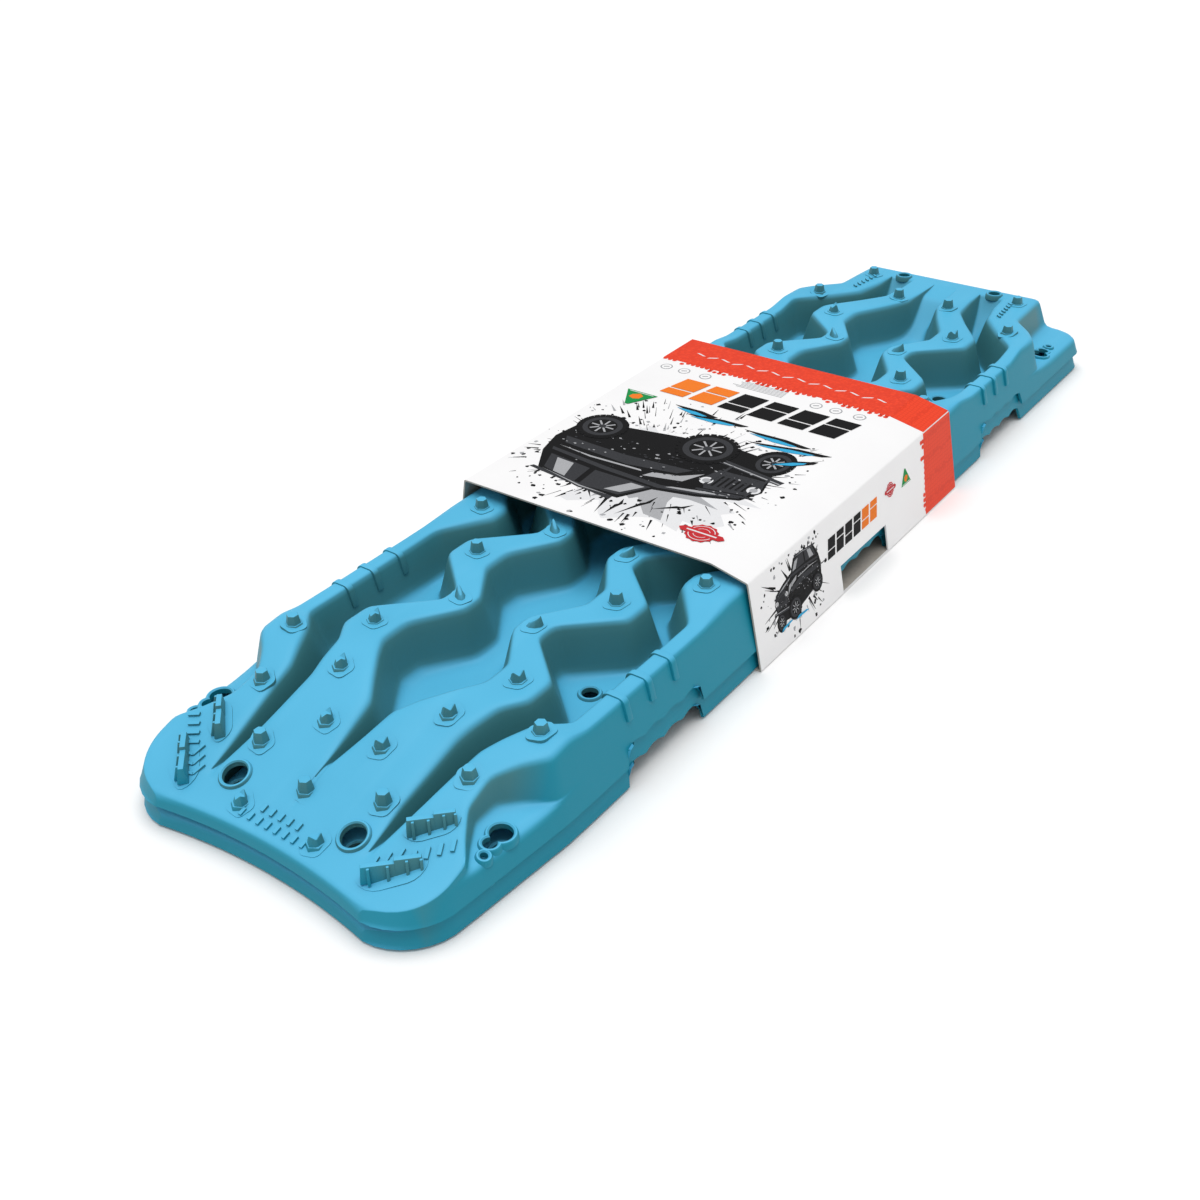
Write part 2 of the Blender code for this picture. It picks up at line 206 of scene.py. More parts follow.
def mouldedNylonAndPaintedShade():
    # Glass-filled nylon 6, injection moulded in a spark-eroded tool: an even, matt cyan on the tops with a
    # very fine grain. The grain is 0.8 mm, coarser than the tool's 0.2 mm, so that it shows. The walls carry
    # painted shade: steep faces are darker and greener than the tops, and pocket walls darker still.
    made, tree, shader = newMaterial(
        "mouldedNylonAndPaintedShade", {"Roughness": 0.47, "IOR": 1.53, "Specular IOR Level": 0.22}
    )
    where = addNode(tree, "ShaderNodeTexCoord").outputs["Object"]
    cloud = addNode(
        tree, "ShaderNodeTexNoise", {"Scale": 9.0, "Detail": 3.0, "Roughness": 0.5}, {"Vector": where}
    )
    tone = addNode(tree, "ShaderNodeValToRGB", links={"Fac": cloud.outputs["Fac"]})
    for stop, place, code in zip(tone.color_ramp.elements, (0.3, 0.7), nylonLook["tops"]):
        stop.position = place
        stop.color = linear(code)
    # flow marks: long pale streaks along the mat, where the melt ran
    flow = addNode(tree, "ShaderNodeMapping", {"Scale": (3, 40, 12)}, {"Vector": where})
    streak = addNode(
        tree, "ShaderNodeTexNoise", {"Scale": 1.0, "Detail": 2.0}, {"Vector": flow.outputs["Vector"]}
    )
    pale = addNode(
        tree, "ShaderNodeMapRange", {"From Min": 0.55, "From Max": 0.8, "To Min": 0.0, "To Max": 0.10},
        {"Value": streak.outputs["Fac"]},
    )
    mixed = addNode(
        tree, "ShaderNodeMix", {"data_type": "RGBA", 7: linear(nylonLook["flowMark"])},
        {0: pale.outputs["Result"], 6: tone.outputs["Color"]},
    )
    # painted shade: the steep walls are painted a deeper, greener tint than the flat tops, where less light
    # falls on them, and the pocket walls deeper still than the mat's own sides, where shade gathers in the
    # recesses
    spot = addNode(tree, "ShaderNodeSeparateXYZ", links={"Vector": where})
    fades = []
    for axis, (start, full) in (("Y", nylonLook["outerShadeFrom"]), ("X", nylonLook["endFrom"])):
        away = addNode(tree, "ShaderNodeMath", {"operation": "ABSOLUTE"}, {0: spot.outputs[axis]})
        settings = {"From Min": start, "From Max": full}
        fade = addNode(tree, "ShaderNodeMapRange", settings, {"Value": away.outputs["Value"]})
        fades.append(fade.outputs["Result"])
    outer = addNode(tree, "ShaderNodeMath", {"operation": "MAXIMUM"}, {0: fades[0], 1: fades[1]})
    shadeColours = {6: linear(nylonLook["pocketWallPaintedShade"]), 7: linear(nylonLook["outerWallPaintedShade"])}
    wall = addNode(
        tree, "ShaderNodeMix", {"data_type": "RGBA", **shadeColours}, {0: outer.outputs["Value"]}
    )
    # painted shade: the steeper the face, the more of the darker wall tint it takes
    facing = addNode(tree, "ShaderNodeNewGeometry").outputs["Normal"]
    slope = addNode(tree, "ShaderNodeSeparateXYZ", links={"Vector": facing})
    steep, level = nylonLook["shadeLevelFrom"]
    flat = addNode(
        tree, "ShaderNodeMapRange",
        {"interpolation_type": "SMOOTHSTEP", "From Min": steep, "From Max": level},
        {"Value": slope.outputs["Z"]},
    )
    skin = addNode(
        tree, "ShaderNodeMix", {"data_type": "RGBA"},
        {0: flat.outputs["Result"], 6: wall.outputs[2], 7: mixed.outputs[2]},
    )
    tree.links.new(skin.outputs[2], shader.inputs["Base Color"])
    grain = fineRelief(tree, shader, where, {"Scale": 1250.0, "Detail": 2.0}, 0.12, 0.0002)
    smooth, matt = nylonLook["roughness"]
    rough = addNode(tree, "ShaderNodeMapRange", {"To Min": smooth, "To Max": matt}, {"Value": grain})
    tree.links.new(rough.outputs["Result"], shader.inputs["Roughness"])
    return made


def coatedBoard():
    # Clay-coated folding box board, offset printed: bright white, slightly glossy, with the faint
    # unevenness of the sheet and fine black speckle thrown out from the printed picture.
    made, tree, shader = newMaterial(
        "coatedBoard", {"Roughness": 0.4, "IOR": 1.5, "Specular IOR Level": 0.25}
    )
    where = addNode(tree, "ShaderNodeTexCoord").outputs["Object"]
    cloud = addNode(tree, "ShaderNodeTexNoise", {"Scale": 14.0, "Detail": 4.0}, {"Vector": where})
    tone = addNode(
        tree, "ShaderNodeMix", {"data_type": "RGBA", 6: linear("#F1F0F1"), 7: linear("#F8F8F8")},
        {0: cloud.outputs["Fac"]},
    )
    # distance from the middle of the picture, in metres, with the sheet's height left out
    away = addNode(
        tree, "ShaderNodeMapping", {"Location": (0.035, -0.02, 0), "Scale": (1, 0.8, 0)}, {"Vector": where}
    )
    reach = addNode(tree, "ShaderNodeVectorMath", {"operation": "LENGTH"}, {0: away.outputs["Vector"]})
    thrown = addNode(
        tree, "ShaderNodeMapRange", {"From Min": 0.06, "From Max": 0.145, "To Min": 0.60, "To Max": 0.86},
        {"Value": reach.outputs["Value"]},
    )
    speck = addNode(
        tree, "ShaderNodeTexNoise", {"Scale": 170.0, "Detail": 5.0, "Roughness": 0.75}, {"Vector": where}
    )
    over = addNode(
        tree, "ShaderNodeMath", {"operation": "GREATER_THAN"},
        {0: speck.outputs["Fac"], 1: thrown.outputs["Result"]},
    )
    spotted = addNode(
        tree, "ShaderNodeMix", {"data_type": "RGBA", 7: linear("#2A2A2C")},
        {0: over.outputs["Value"], 6: tone.outputs[2]},
    )
    tree.links.new(spotted.outputs[2], shader.inputs["Base Color"])
    fineRelief(tree, shader, where, {"Scale": 420.0, "Detail": 3.0}, 0.06, 0.0002)
    return made


def greyboard():
    # The uncoated back and cut edges of the same board: recycled grey-brown pulp with loose fibres.
    made, tree, shader = newMaterial("greyboard", {"Roughness": 0.85, "IOR": 1.5})
    where = addNode(tree, "ShaderNodeTexCoord").outputs["Object"]
    settings = {"Scale": 300.0, "Detail": 6.0, "Roughness": 0.7}
    fibre = fineRelief(tree, shader, where, settings, 0.25, 0.0003)
    tone = addNode(
        tree, "ShaderNodeMix", {"data_type": "RGBA", 6: linear("#A29A91"), 7: linear("#C6BFB6")}, {0: fibre}
    )
    tree.links.new(tone.outputs[2], shader.inputs["Base Color"])
    return made


def printInk(name, dark, light):
    # Offset ink on coated board: a flat film that takes the board's gloss, with the slight mottle
    # of the dots. The dots are drawn at about 1 mm, because the real 0.15 mm screen wouldn't show.
    made, tree, shader = newMaterial(name, {"Roughness": 0.5, "IOR": 1.5, "Specular IOR Level": 0.08})
    where = addNode(tree, "ShaderNodeTexCoord").outputs["Object"]
    dots = addNode(tree, "ShaderNodeTexNoise", {"Scale": 900.0, "Detail": 2.0}, {"Vector": where})
    tone = addNode(
        tree, "ShaderNodeMix", {"data_type": "RGBA", 6: linear(dark), 7: linear(light)},
        {0: dots.outputs["Fac"]},
    )
    tree.links.new(tone.outputs[2], shader.inputs["Base Color"])
    return made


def honeycombInk():
    # The orange-red flood of ink on the band, overprinted with a darker net of 4 mm hexagon-like cells.
    made, tree, shader = newMaterial(
        "honeycombInk", {"Roughness": 0.45, "IOR": 1.5, "Specular IOR Level": 0.15}
    )
    where = addNode(tree, "ShaderNodeTexCoord").outputs["Object"]
    cells = addNode(
        tree, "ShaderNodeTexVoronoi",
        {"feature": "DISTANCE_TO_EDGE", "Scale": 250.0, "Randomness": 0.25}, {"Vector": where},
    )
    net = addNode(
        tree, "ShaderNodeMapRange", {"From Min": 0.03, "From Max": 0.12},
        {"Value": cells.outputs["Distance"]},
    )
    tone = addNode(
        tree, "ShaderNodeMix", {"data_type": "RGBA", 6: linear("#E0391A"), 7: linear("#EC4321")},
        {0: net.outputs["Result"]},
    )
    tree.links.new(tone.outputs[2], shader.inputs["Base Color"])
    return made


nylon = mouldedNylonAndPaintedShade()
boardWhite = coatedBoard()
boardGrey = greyboard()
inkBlack = printInk("blackInk", "#08080A", "#121214")
inkCharcoal = printInk("charcoalInk", "#2A2B2E", "#3E3F43")
inkGrey = printInk("greyInk", "#9A9B9E", "#B4B5B8")
inkPale = printInk("paleInk", "#D9DADC", "#E9E9EB")
inkOrange = printInk("orangeInk", "#EA6A1C", "#F28A2A")
inkBlue = printInk("blueInk", "#1F93C4", "#46B9E4")
inkRed = printInk("redInk", "#B5222A", "#CE3A40")
inkGreen = printInk("greenInk", "#12803F", "#1D9950")
inkBand = honeycombInk()
print("materials made")


matSizes = {
    "length": 1.160,
    "halfWidth": 0.162,  # at the foot of its side walls
    "top": 0.057,  # top plane above the foot
    "plateau": 0.054,  # the same at the far end
    "lip": 0.010,  # the plate's edge at the ramp end
    "floor": 0.012,
    "wall": 0.0028,
    "draft": 0.258,  # how far a wall leans for each unit of height
    "ledge": 0.020,
    "handleDrop": 0.005,
    "nearRadius": 0.045,
    "farRadius": 0.018,
    "dish": 0.010,
    "farLean": 0.050,
    "grain": 0.0040,  # size of the skin's grid
    "rounding": 3,  # how often the grid is smoothed
}
ribSizes = {
    "pitch": 0.128,
    "firstBend": -0.367,
    "bends": 7,
    "outerFlat": 0.014,
    "innerFlat": 0.010,
    "outerAt": (0.095, 0.051),
    "innerAt": (0.052, 0.025),
    "handleInner": 0.134,
    "blockInner": 0.101,
    "blockBends": (1, 4),
}
gripSizes = {
    "handles": ((-0.380, -0.226), (-0.098, 0.132), (0.288, 0.388)),
    "notches": ((-0.348, -0.245), (-0.030, 0.073), (0.297, 0.399)),
    "crown": 0.016,
    "scallop": 0.003,
    "fingers": 4,
    "ridge": (0.018, 0.0022, 0.0062),  # how deep, how proud and how wide each band is
    "ridgeThick": 0.004,
    "ridgeSoft": 0.0007,
    "ridges": (-0.336, -0.305, -0.273, -0.062, -0.030, 0.062, 0.094, 0.312, 0.340, 0.368),
}

nearEnd, farEnd = -matSizes["length"] / 2, matSizes["length"] / 2

# half-plan outlines as (x, |y|) corners
railStart = [(-0.548, 0.081), (-0.500, 0.087), (-0.440, 0.096), (-0.400, 0.116)]
ribOuterStart = [(-0.548, 0.078), (-0.500, 0.074), (-0.440, 0.074), (-0.400, 0.082)]
ribInnerStart = [(-0.548, 0.0015), (-0.500, 0.0020), (-0.440, 0.011), (-0.400, 0.040)]
railFinish = [(0.450, 0.103), (0.480, 0.080), (0.515, 0.073), (0.555, 0.071)]
ribOuterFinish = [(0.450, 0.068), (0.480, 0.048), (0.515, 0.044), (0.555, 0.043)]
ribInnerFinish = [(0.450, 0.032), (0.480, 0.018), (0.515, 0.016), (0.555, 0.015)]
scoop = [(-0.520, 0.0), (-0.502, 0.014), (-0.482, 0.028), (-0.455, 0.030), (-0.437, 0.016), (-0.424, 0.0)]
shoulders = [(0.450, 0.0), (0.468, 0.012), (0.492, 0.036), (farEnd, 0.040)]


def bendLine(start, finish, outer, innerOf):
    points = list(start)
    for i in range(ribSizes["bends"]):
        x = ribSizes["firstBend"] + i * ribSizes["pitch"]
        points += [(x - ribSizes["outerFlat"], outer), (x + ribSizes["outerFlat"], outer)]
        if i < ribSizes["bends"] - 1:
            x += ribSizes["pitch"] / 2
            points += [(x - ribSizes["innerFlat"], innerOf(i)), (x + ribSizes["innerFlat"], innerOf(i))]
    return points + list(finish)


railInnerLine = bendLine(
    railStart, railFinish, ribSizes["handleInner"],
    lambda i: ribSizes["blockInner"] if i in ribSizes["blockBends"] else ribSizes["handleInner"],
)
ribOuterLine = bendLine(
    ribOuterStart, ribOuterFinish, ribSizes["outerAt"][0], lambda i: ribSizes["outerAt"][1]
)
ribInnerLine = bendLine(
    ribInnerStart, ribInnerFinish, ribSizes["innerAt"][0], lambda i: ribSizes["innerAt"][1]
)


def topHeight(x):
    top = matSizes["top"]
    low, plateau = matSizes["lip"], matSizes["plateau"]
    return interp(x, [(nearEnd, low), (-0.560, 0.015), (-0.415, top), (0.430, top), (farEnd, plateau)])


def railHeight(x):
    drop = max(interp(x, [(a - 0.012, 0), (a, 1), (b, 1), (b + 0.012, 0)]) for a, b in gripSizes["handles"])
    return topHeight(x) - matSizes["handleDrop"] * drop


def sideHalf(x):
    return interp(x, [(nearEnd, 0.149), (-0.42, matSizes["halfWidth"])])


def baseHalf(x):
    half = sideHalf(x)
    near = nearEnd + matSizes["nearRadius"] - x
    far = x - (farEnd - matSizes["farRadius"])
    if near > 0:
        half -= matSizes["nearRadius"] - math.sqrt(max(0, matSizes["nearRadius"] ** 2 - near ** 2))
    if far > 0:
        half -= matSizes["farRadius"] - math.sqrt(max(0, matSizes["farRadius"] ** 2 - far ** 2))
    return half


def stations():
    def arc(radius, degrees):
        return [radius * (1 - math.sin(math.radians(a))) for a in degrees]

    near = [nearEnd + d for d in arc(matSizes["nearRadius"], range(90, 0, -12))]
    far = [farEnd - d for d in arc(matSizes["farRadius"], (0, 20, 40, 60, 75, 90))]
    middle = {round(x, 5) for line in (railInnerLine, ribOuterLine, ribInnerLine) for x, _ in line}
    middle |= {x for x, _ in scoop} | {x for x, _ in shoulders[:-1]}
    return sorted(near + [x for x in middle if near[-1] + 0.002 < x < far[0] - 0.002] + far)


def mitre(line, x, side):
    # the direction in which a drafted wall's foot leaves its top edge
    step = 0.0012

    def leaning(a, b):
        dx, dy = b - a, line(b) - line(a)
        return -dy / math.hypot(dx, dy) * side, dx / math.hypot(dx, dy) * side

    ax, ay = leaning(x - step, x)
    bx, by = leaning(x, x + step)
    scale = 2 / ((ax + bx) ** 2 + (ay + by) ** 2)
    return (ax + bx) * scale, (ay + by) * scale


def railEdge(x):
    cut = interp(x, scoop) if x < 0 else interp(x, shoulders)
    return (baseHalf(x) if x < 0 else sideHalf(x)) - matSizes["draft"] * railHeight(x) - cut


def railInner(x):
    return interp(x, railInnerLine)


def ribOuter(x):
    return interp(x, ribOuterLine)


def ribInner(x):
    return interp(x, ribInnerLine)


def pocket(x, high, low, floor):
    # the feet of the two walls of a pocket, or of one wall and the centre line
    top = topHeight(x)
    wide = high(x) - (low(x) if low else 0)
    mx, my = mitre(high, x, -1)
    nx, ny = mitre(low, x, 1) if low else (0, 0)
    leftFlat = 0.003 if low else 0.0015
    depth = max(0, min(top - floor, (wide - leftFlat) / (matSizes["draft"] * (abs(my) + abs(ny)))))
    reach = matSizes["draft"] * depth
    foot = (x + mx * reach, high(x) + my * reach, top - depth)
    if not low:
        return foot, (foot[0], 0, top - depth)
    return foot, (x + nx * reach, low(x) + ny * reach, top - depth)


def sideFloor(x):
    return interp(x, [(0.500, matSizes["floor"]), (0.555, matSizes["top"])])


def middleFloor(x):
    return interp(x, [(0.465, matSizes["floor"]), (0.525, matSizes["top"])])


def halfSection(x):
    # a cross-section's corners, from the foot of the side wall to the centre line
    top, rail, draft, ledgeTop = topHeight(x), railHeight(x), matSizes["draft"], matSizes["ledge"]
    foot = baseHalf(x)
    wallX, wallY = (0, -1) if x in (nearEnd, farEnd) else mitre(baseHalf, x, -1)
    cut = interp(x, scoop) if x < 0 else interp(x, shoulders)

    def onWall(z):
        return x + wallX * draft * z, foot + wallY * draft * z, z

    ledge = onWall(min(ledgeTop + 0.002, rail * 0.8))
    if cut > 0 or x in (scoop[0][0], scoop[-1][0], shoulders[0][0]):
        mx, my = (0, 1) if x == farEnd else mitre(railEdge, x, 1)
        reach = draft * (rail - ledgeTop)
        ledge = (x + mx * reach, min(railEdge(x) + my * reach, onWall(ledgeTop)[1] - 0.001), ledgeTop)
    edge = (x, railEdge(x), rail) if cut > 0 else onWall(rail)
    outer, inner = pocket(x, railInner, ribOuter, sideFloor(x))
    middle, centre = pocket(x, ribInner, None, middleFloor(x))
    return [
        onWall(0), onWall(min(ledgeTop, rail * 0.6)), ledge, edge,
        (x, min(railInner(x), edge[1] - 0.008), rail), outer, inner,
        (x, ribOuter(x), top), (x, ribInner(x), top), middle, centre,
    ]


def settled(x, y, z):
    near = interp(x, [(nearEnd, 1), (nearEnd + 0.075, 0)])
    far = interp(x, [(farEnd - matSizes["farLean"], 0), (farEnd, 1)])
    across = 1 - min(1, abs(y) / 0.104) ** 2
    shift = (matSizes["dish"] * across + matSizes["draft"] * z) * near - matSizes["draft"] * z * far
    return Vector((x + shift, y, z))


def notchCrown(x):
    # height of the side wall's foot where finger notches are cut out of it
    for start, finish in gripSizes["notches"]:
        if start < x < finish:
            along = (x - start) / (finish - start) * gripSizes["fingers"]
            return gripSizes["crown"] - gripSizes["scallop"] * (1 - abs(math.sin(math.pi * along)))
    return 0


def spread(lengths, step):
    # positions along a run of intervals, each interval split into even steps
    places = [0]
    for i, length in enumerate(lengths):
        count = max(1, round(length / step))
        places += [i + (j + 1) / count for j in range(count)]
    return places


def matSkin(base):
    at = stations()
    rows = [[Vector(p) for p in halfSection(x)] for x in at]
    gaps = [b - a for a, b in zip(at, at[1:])]
    for row, place in ((rows[0], 0), (rows[-1], len(rows) + 1)):
        rows.insert(place, [Vector((p.x, p.y, 0)) for p in row])  # the foot of an end wall
    gaps = [matSizes["lip"], *gaps, matSizes["plateau"]]
    alongAt = spread(gaps, matSizes["grain"])
    lengths = [
        sum((row[k + 1] - row[k]).length for row in rows) / len(rows) for k in range(len(rows[0]) - 1)
    ]
    acrossAt = spread(lengths, matSizes["grain"])

    def onGrid(a, b):
        i, k = min(int(a), len(rows) - 2), min(int(b), len(rows[0]) - 2)
        near = rows[i][k].lerp(rows[i][k + 1], b - k)
        return near.lerp(rows[i + 1][k].lerp(rows[i + 1][k + 1], b - k), a - i)

    bm = bmesh.new()
    bmesh.ops.create_grid(bm, x_segments=len(alongAt) - 1, y_segments=len(acrossAt) - 1, size=0.5)
    for vert in bm.verts:
        a = alongAt[round((vert.co.x + 0.5) * (len(alongAt) - 1))]
        b = acrossAt[round((0.5 - vert.co.y) * (len(acrossAt) - 1))]
        if b < 1 and 1 < a < len(rows) - 2:
            cut = notchCrown(onGrid(a, 0).x) / onGrid(a, 1).z
            b = cut + (1 - cut) * b
        vert.co = settled(*onGrid(a, b)) + Vector((0, 0, base))
    bmesh.ops.mirror(bm, geom=bm.verts[:] + bm.edges[:] + bm.faces[:], axis="Y", merge_dist=0.00005)
    bmesh.ops.remove_doubles(bm, verts=bm.verts, dist=0.00005)
    inside = [v for v in bm.verts if not v.is_boundary]
    axes = {"use_axis_x": True, "use_axis_y": True, "use_axis_z": True}
    for _ in range(matSizes["rounding"]):
        bmesh.ops.smooth_vert(bm, verts=inside, factor=0.5, **axes)
    bmesh.ops.recalc_face_normals(bm, faces=bm.faces)
    if max(bm.faces, key=lambda face: face.calc_center_median().z).normal.z < 0:
        bmesh.ops.reverse_faces(bm, faces=bm.faces)
    return bm


holeSizes = {
    "rampHoles": (-0.536, 0.060, 0.010),
    "farHoles": (0.552, 0.058, 0.0065),
    "keyholes": ((-0.476, 0.143, math.pi), (0.492, 0.142, 0.0)),  # x, y, and where the small lobe points
    "keyBig": 0.0088,
    "keySmall": 0.0055,
    "keyReach": 0.0125,
    "eyelets": ((-0.500, 0.147, 0.003), (0.517, 0.143, 0.003)),
    "drain": 0.007,
    "drainBends": (0, 2, 3, 5),
    "drainAt": 0.092,
    "rimWide": 0.0032,
    "rimTall": 0.0024,
}


def drainPlaces():
    first, pitch, y = ribSizes["firstBend"], ribSizes["pitch"], holeSizes["drainAt"]
    return [(first + (i + 0.5) * pitch, y) for i in holeSizes["drainBends"]]


def keyOutline(x, y, turn, grow):
    # two overlapping circles as one outline
    big, small, reach = holeSizes["keyBig"] + grow, holeSizes["keySmall"] + grow, holeSizes["keyReach"]
    a = math.acos((big ** 2 + reach ** 2 - small ** 2) / (2 * big * reach))
    b = math.acos((small ** 2 + reach ** 2 - big ** 2) / (2 * small * reach))

    def swing(start, count):  # even angles round the long way from start to -start
        return [start + (2 * math.pi - 2 * start) * i / count for i in range(count)]

    points = [(big * math.cos(t), big * math.sin(t)) for t in swing(a, 26)]
    points += [(reach - small * math.cos(t), -small * math.sin(t)) for t in swing(b, 14)]
    return [
        (x + px * math.cos(turn) - py * math.sin(turn), y + px * math.sin(turn) + py * math.cos(turn))
        for px, py in points
    ]


def prism(bm, outline, low, high):
    face = bm.faces.new([bm.verts.new((x, y, low)) for x, y in outline])
    swept(bm, [face], (0, 0, high - low))


def holeCutters(base):
    bm = bmesh.new()
    rounds = [holeSizes["rampHoles"], holeSizes["farHoles"], *holeSizes["eyelets"]]
    rounds += [(x, y, holeSizes["drain"]) for x, y in drainPlaces()]
    for side in (-1, 1):
        for x, y, r in rounds:
            made = bmesh.ops.create_cone(bm, cap_ends=True, segments=32, radius1=r, radius2=r, depth=0.2)
            bmesh.ops.translate(bm, verts=made["verts"], vec=(x, y * side, base))
        for x, y, turn in holeSizes["keyholes"]:
            prism(bm, [(px, py * side) for px, py in keyOutline(x, y, turn, 0)], base - 0.05, base + 0.1)
    bmesh.ops.recalc_face_normals(bm, faces=bm.faces)
    return bm


def ring(bm, loops):
    # closes a run of loops, each a list of points, into one band that meets itself
    made = []
    for loop in loops:
        verts = [bm.verts.new(p) for p in loop]
        made.append([bm.edges.new((verts[i - 1], verts[i])) for i in range(len(verts))])
    for i, edges in enumerate(made):
        bmesh.ops.bridge_loops(bm, edges=made[i - 1] + edges)


def rimLoops(outlineOf, seat, low=-0.003):
    wide, tall = holeSizes["rimWide"], holeSizes["rimTall"]
    # no two neighbouring loops lie in one plane, so that each bridge knows which way to run
    profile = [
        (0, low), (0, tall * 0.6), (wide * 0.35, tall), (wide * 0.7, tall * 0.93), (wide, tall * 0.4),
        (wide * 1.25, low - 0.0006),
    ]
    return [[seat @ Vector((px, py, z)) for px, py in outlineOf(grow)] for grow, z in profile]


def roundOutline(radius, count=32):
    angles = [2 * math.pi * i / count for i in range(count)]
    return lambda grow: [((radius + grow) * math.cos(t), (radius + grow) * math.sin(t)) for t in angles]


def holeRims(seatAt):
    bm = bmesh.new()
    for side in (-1, 1):
        for x, y, r in [holeSizes["rampHoles"], holeSizes["farHoles"], *holeSizes["eyelets"]]:
            ring(bm, rimLoops(roundOutline(r), seatAt(x, y * side, True)))
        for x, y, turn in holeSizes["keyholes"]:
            seat = seatAt(x, y * side, True)
            ring(bm, rimLoops(lambda grow: keyOutline(0, 0, turn, grow), seat))
        for x, y in drainPlaces():
            ring(bm, rimLoops(roundOutline(holeSizes["drain"], 24), seatAt(x, y * side, True), -0.0015))
    bmesh.ops.recalc_face_normals(bm, faces=bm.faces)
    return bm


cleatSizes = {
    "plain": [
        (-0.506, 0.062), (-0.406, 0.126), (-0.177, 0.120), (0.230, 0.120), (0.448, 0.118), (0.538, 0.092),
        (-0.462, 0.105), (0.482, 0.031),
    ],
    "crown": [(-0.552, 0.038), (-0.470, 0.028), (-0.425, 0.055)],
    "centre": (-0.522, 0.0),
    "plainBends": (1, 4, 5),
    "foot": 0.0074,
    "topRadius": 0.0049,
    "flareTall": 0.0014,  # the wider foot round each peg
    "tall": 0.0106,
    "railTall": 0.0090,
    "spike": 0.0040,
    "claw": (0.0094, 0.0064),
    "clawTall": 0.0100,
    "bendAt": 0.0735,
    "clawAt": 0.038,
    "sunk": 0.0035,
    "pad": 0.0128,
    "padTall": 0.0006,
}


def moved(bm, verts, matrix):
    bmesh.ops.transform(bm, matrix=matrix, verts=verts)


def peg(bm, seat, tall, turn, crowned):
    # a six-sided tapered peg on a flared foot; a crowned one has two spikes with a saddle between
    sunk, foot = cleatSizes["sunk"], cleatSizes["foot"]
    body = tall - (cleatSizes["spike"] if crowned else 0)
    made = bmesh.ops.create_cone(
        bm, cap_ends=True, segments=6, radius1=foot, radius2=cleatSizes["topRadius"], depth=body + sunk
    )["verts"]
    for vert in made:
        vert.co.z += (body - sunk) / 2
    upper = [v for v in made if v.co.z > body * 0.6]
    if crowned:
        tips = sorted(upper, key=lambda v: v.co.x)
        for vert in (tips[0], tips[-1]):
            vert.co.z += cleatSizes["spike"]
            vert.co.x *= 1.08
        for vert in tips[1:-1]:
            vert.co.y *= 0.8
        tops = [f for f in bm.faces if f.is_valid and all(v in upper for v in f.verts)]
        bmesh.ops.triangulate(bm, faces=tops)
    flareTall = cleatSizes["flareTall"]
    flare = bmesh.ops.create_cone(
        bm, cap_ends=True, segments=6, radius1=foot * 1.20, radius2=foot * 0.98, depth=sunk + flareTall
    )["verts"]
    for vert in flare:
        vert.co.z += (flareTall - sunk) / 2
    moved(bm, made + flare, seat @ Matrix.Rotation(turn, 4, "Z"))


def claw(bm, seat, turn):
    # a tall curved fin: a stretched foot that rises to one hooked end
    wide, thin = cleatSizes["claw"]
    tall = cleatSizes["clawTall"]
    cut = bmesh.ops.create_cone(bm, cap_ends=True, segments=8, radius1=1, radius2=0.52, depth=1)["verts"]
    for vert in cut:
        high = vert.co.z > 0
        lift = 0.5 + 0.5 * vert.co.x / 0.52 if high else 0
        vert.co = (
            vert.co.x * wide + (0.0016 if high else 0),
            vert.co.y * thin * (0.55 if high else 1),
            tall * (0.42 + 0.58 * lift ** 2) if high else -cleatSizes["sunk"],
        )
    moved(bm, cut, seat @ Matrix.Rotation(turn, 4, "Z"))


def shield(bm, seat, turn, radius, stretch=1.0):
    # the thin raised pad round a cleat's foot, a rounded five-sided shield
    pad = bmesh.ops.create_circle(bm, cap_ends=True, segments=5, radius=radius)["verts"]
    bmesh.ops.scale(bm, verts=pad, vec=(1.12, 0.95 * stretch, 1))
    raised = swept(bm, [pad[0].link_faces[0]], (0, 0, cleatSizes["padTall"] + 0.002))
    bmesh.ops.translate(bm, verts=pad + raised, vec=(0, 0, -0.002))
    sides = [e for v in raised for e in v.link_edges if abs(e.verts[0].co.z - e.verts[1].co.z) > 0.001]
    rounded = bmesh.ops.bevel(
        bm, geom=sides, offset=radius * 0.3, affect="EDGES", segments=3, profile=0.5, material=-1
    )
    verts = {v for f in rounded["faces"] for v in f.verts} | {v for v in pad + raised if v.is_valid}
    moved(bm, list(verts), seat @ Matrix.Rotation(turn, 4, "Z"))


rakeSizes = {
    "places": [(-0.546, 0.105, 0.044), (-0.506, 0.107, 0.036)],  # x, y and length
    "steps": ((-0.5, 0.12, 0.0100), (0.05, 0.5, 0.0128)),  # from and to along the blade, and height
    "ribs": ((-0.36, 0.0090), (-0.06, 0.0090), (0.24, 0.0116), (0.46, 0.0116)),  # place and height
    "thick": (0.0042, 0.0088),  # the blade's top and foot
    "ribOut": (0.0026, 0.0052),  # how far a rib stands out at its top and foot
    "ribDeep": (0.0026, 0.0040),
    "ribWide": 0.0022,
}


def rake(bm, seat, turn, length, side):
    # a wide blade with a stepped top edge and four upright ribs on its face
    sunk = -cleatSizes["sunk"]
    verts = []
    for start, finish, tall in rakeSizes["steps"]:
        verts += block(bm, lambda x, y, high: (
            (start if x < 0 else finish) * length * (0.94 if high else 1),
            y * rakeSizes["thick"][0 if high else 1],
            tall if high else sunk,
        ))
    for at, tall in rakeSizes["ribs"]:
        verts += block(bm, lambda x, y, high: (
            at * length + x * rakeSizes["ribWide"],
            y * rakeSizes["ribDeep"][0 if high else 1] - side * rakeSizes["ribOut"][0 if high else 1],
            tall if high else sunk,
        ))
    moved(bm, verts, seat @ Matrix.Rotation(turn, 4, "Z"))


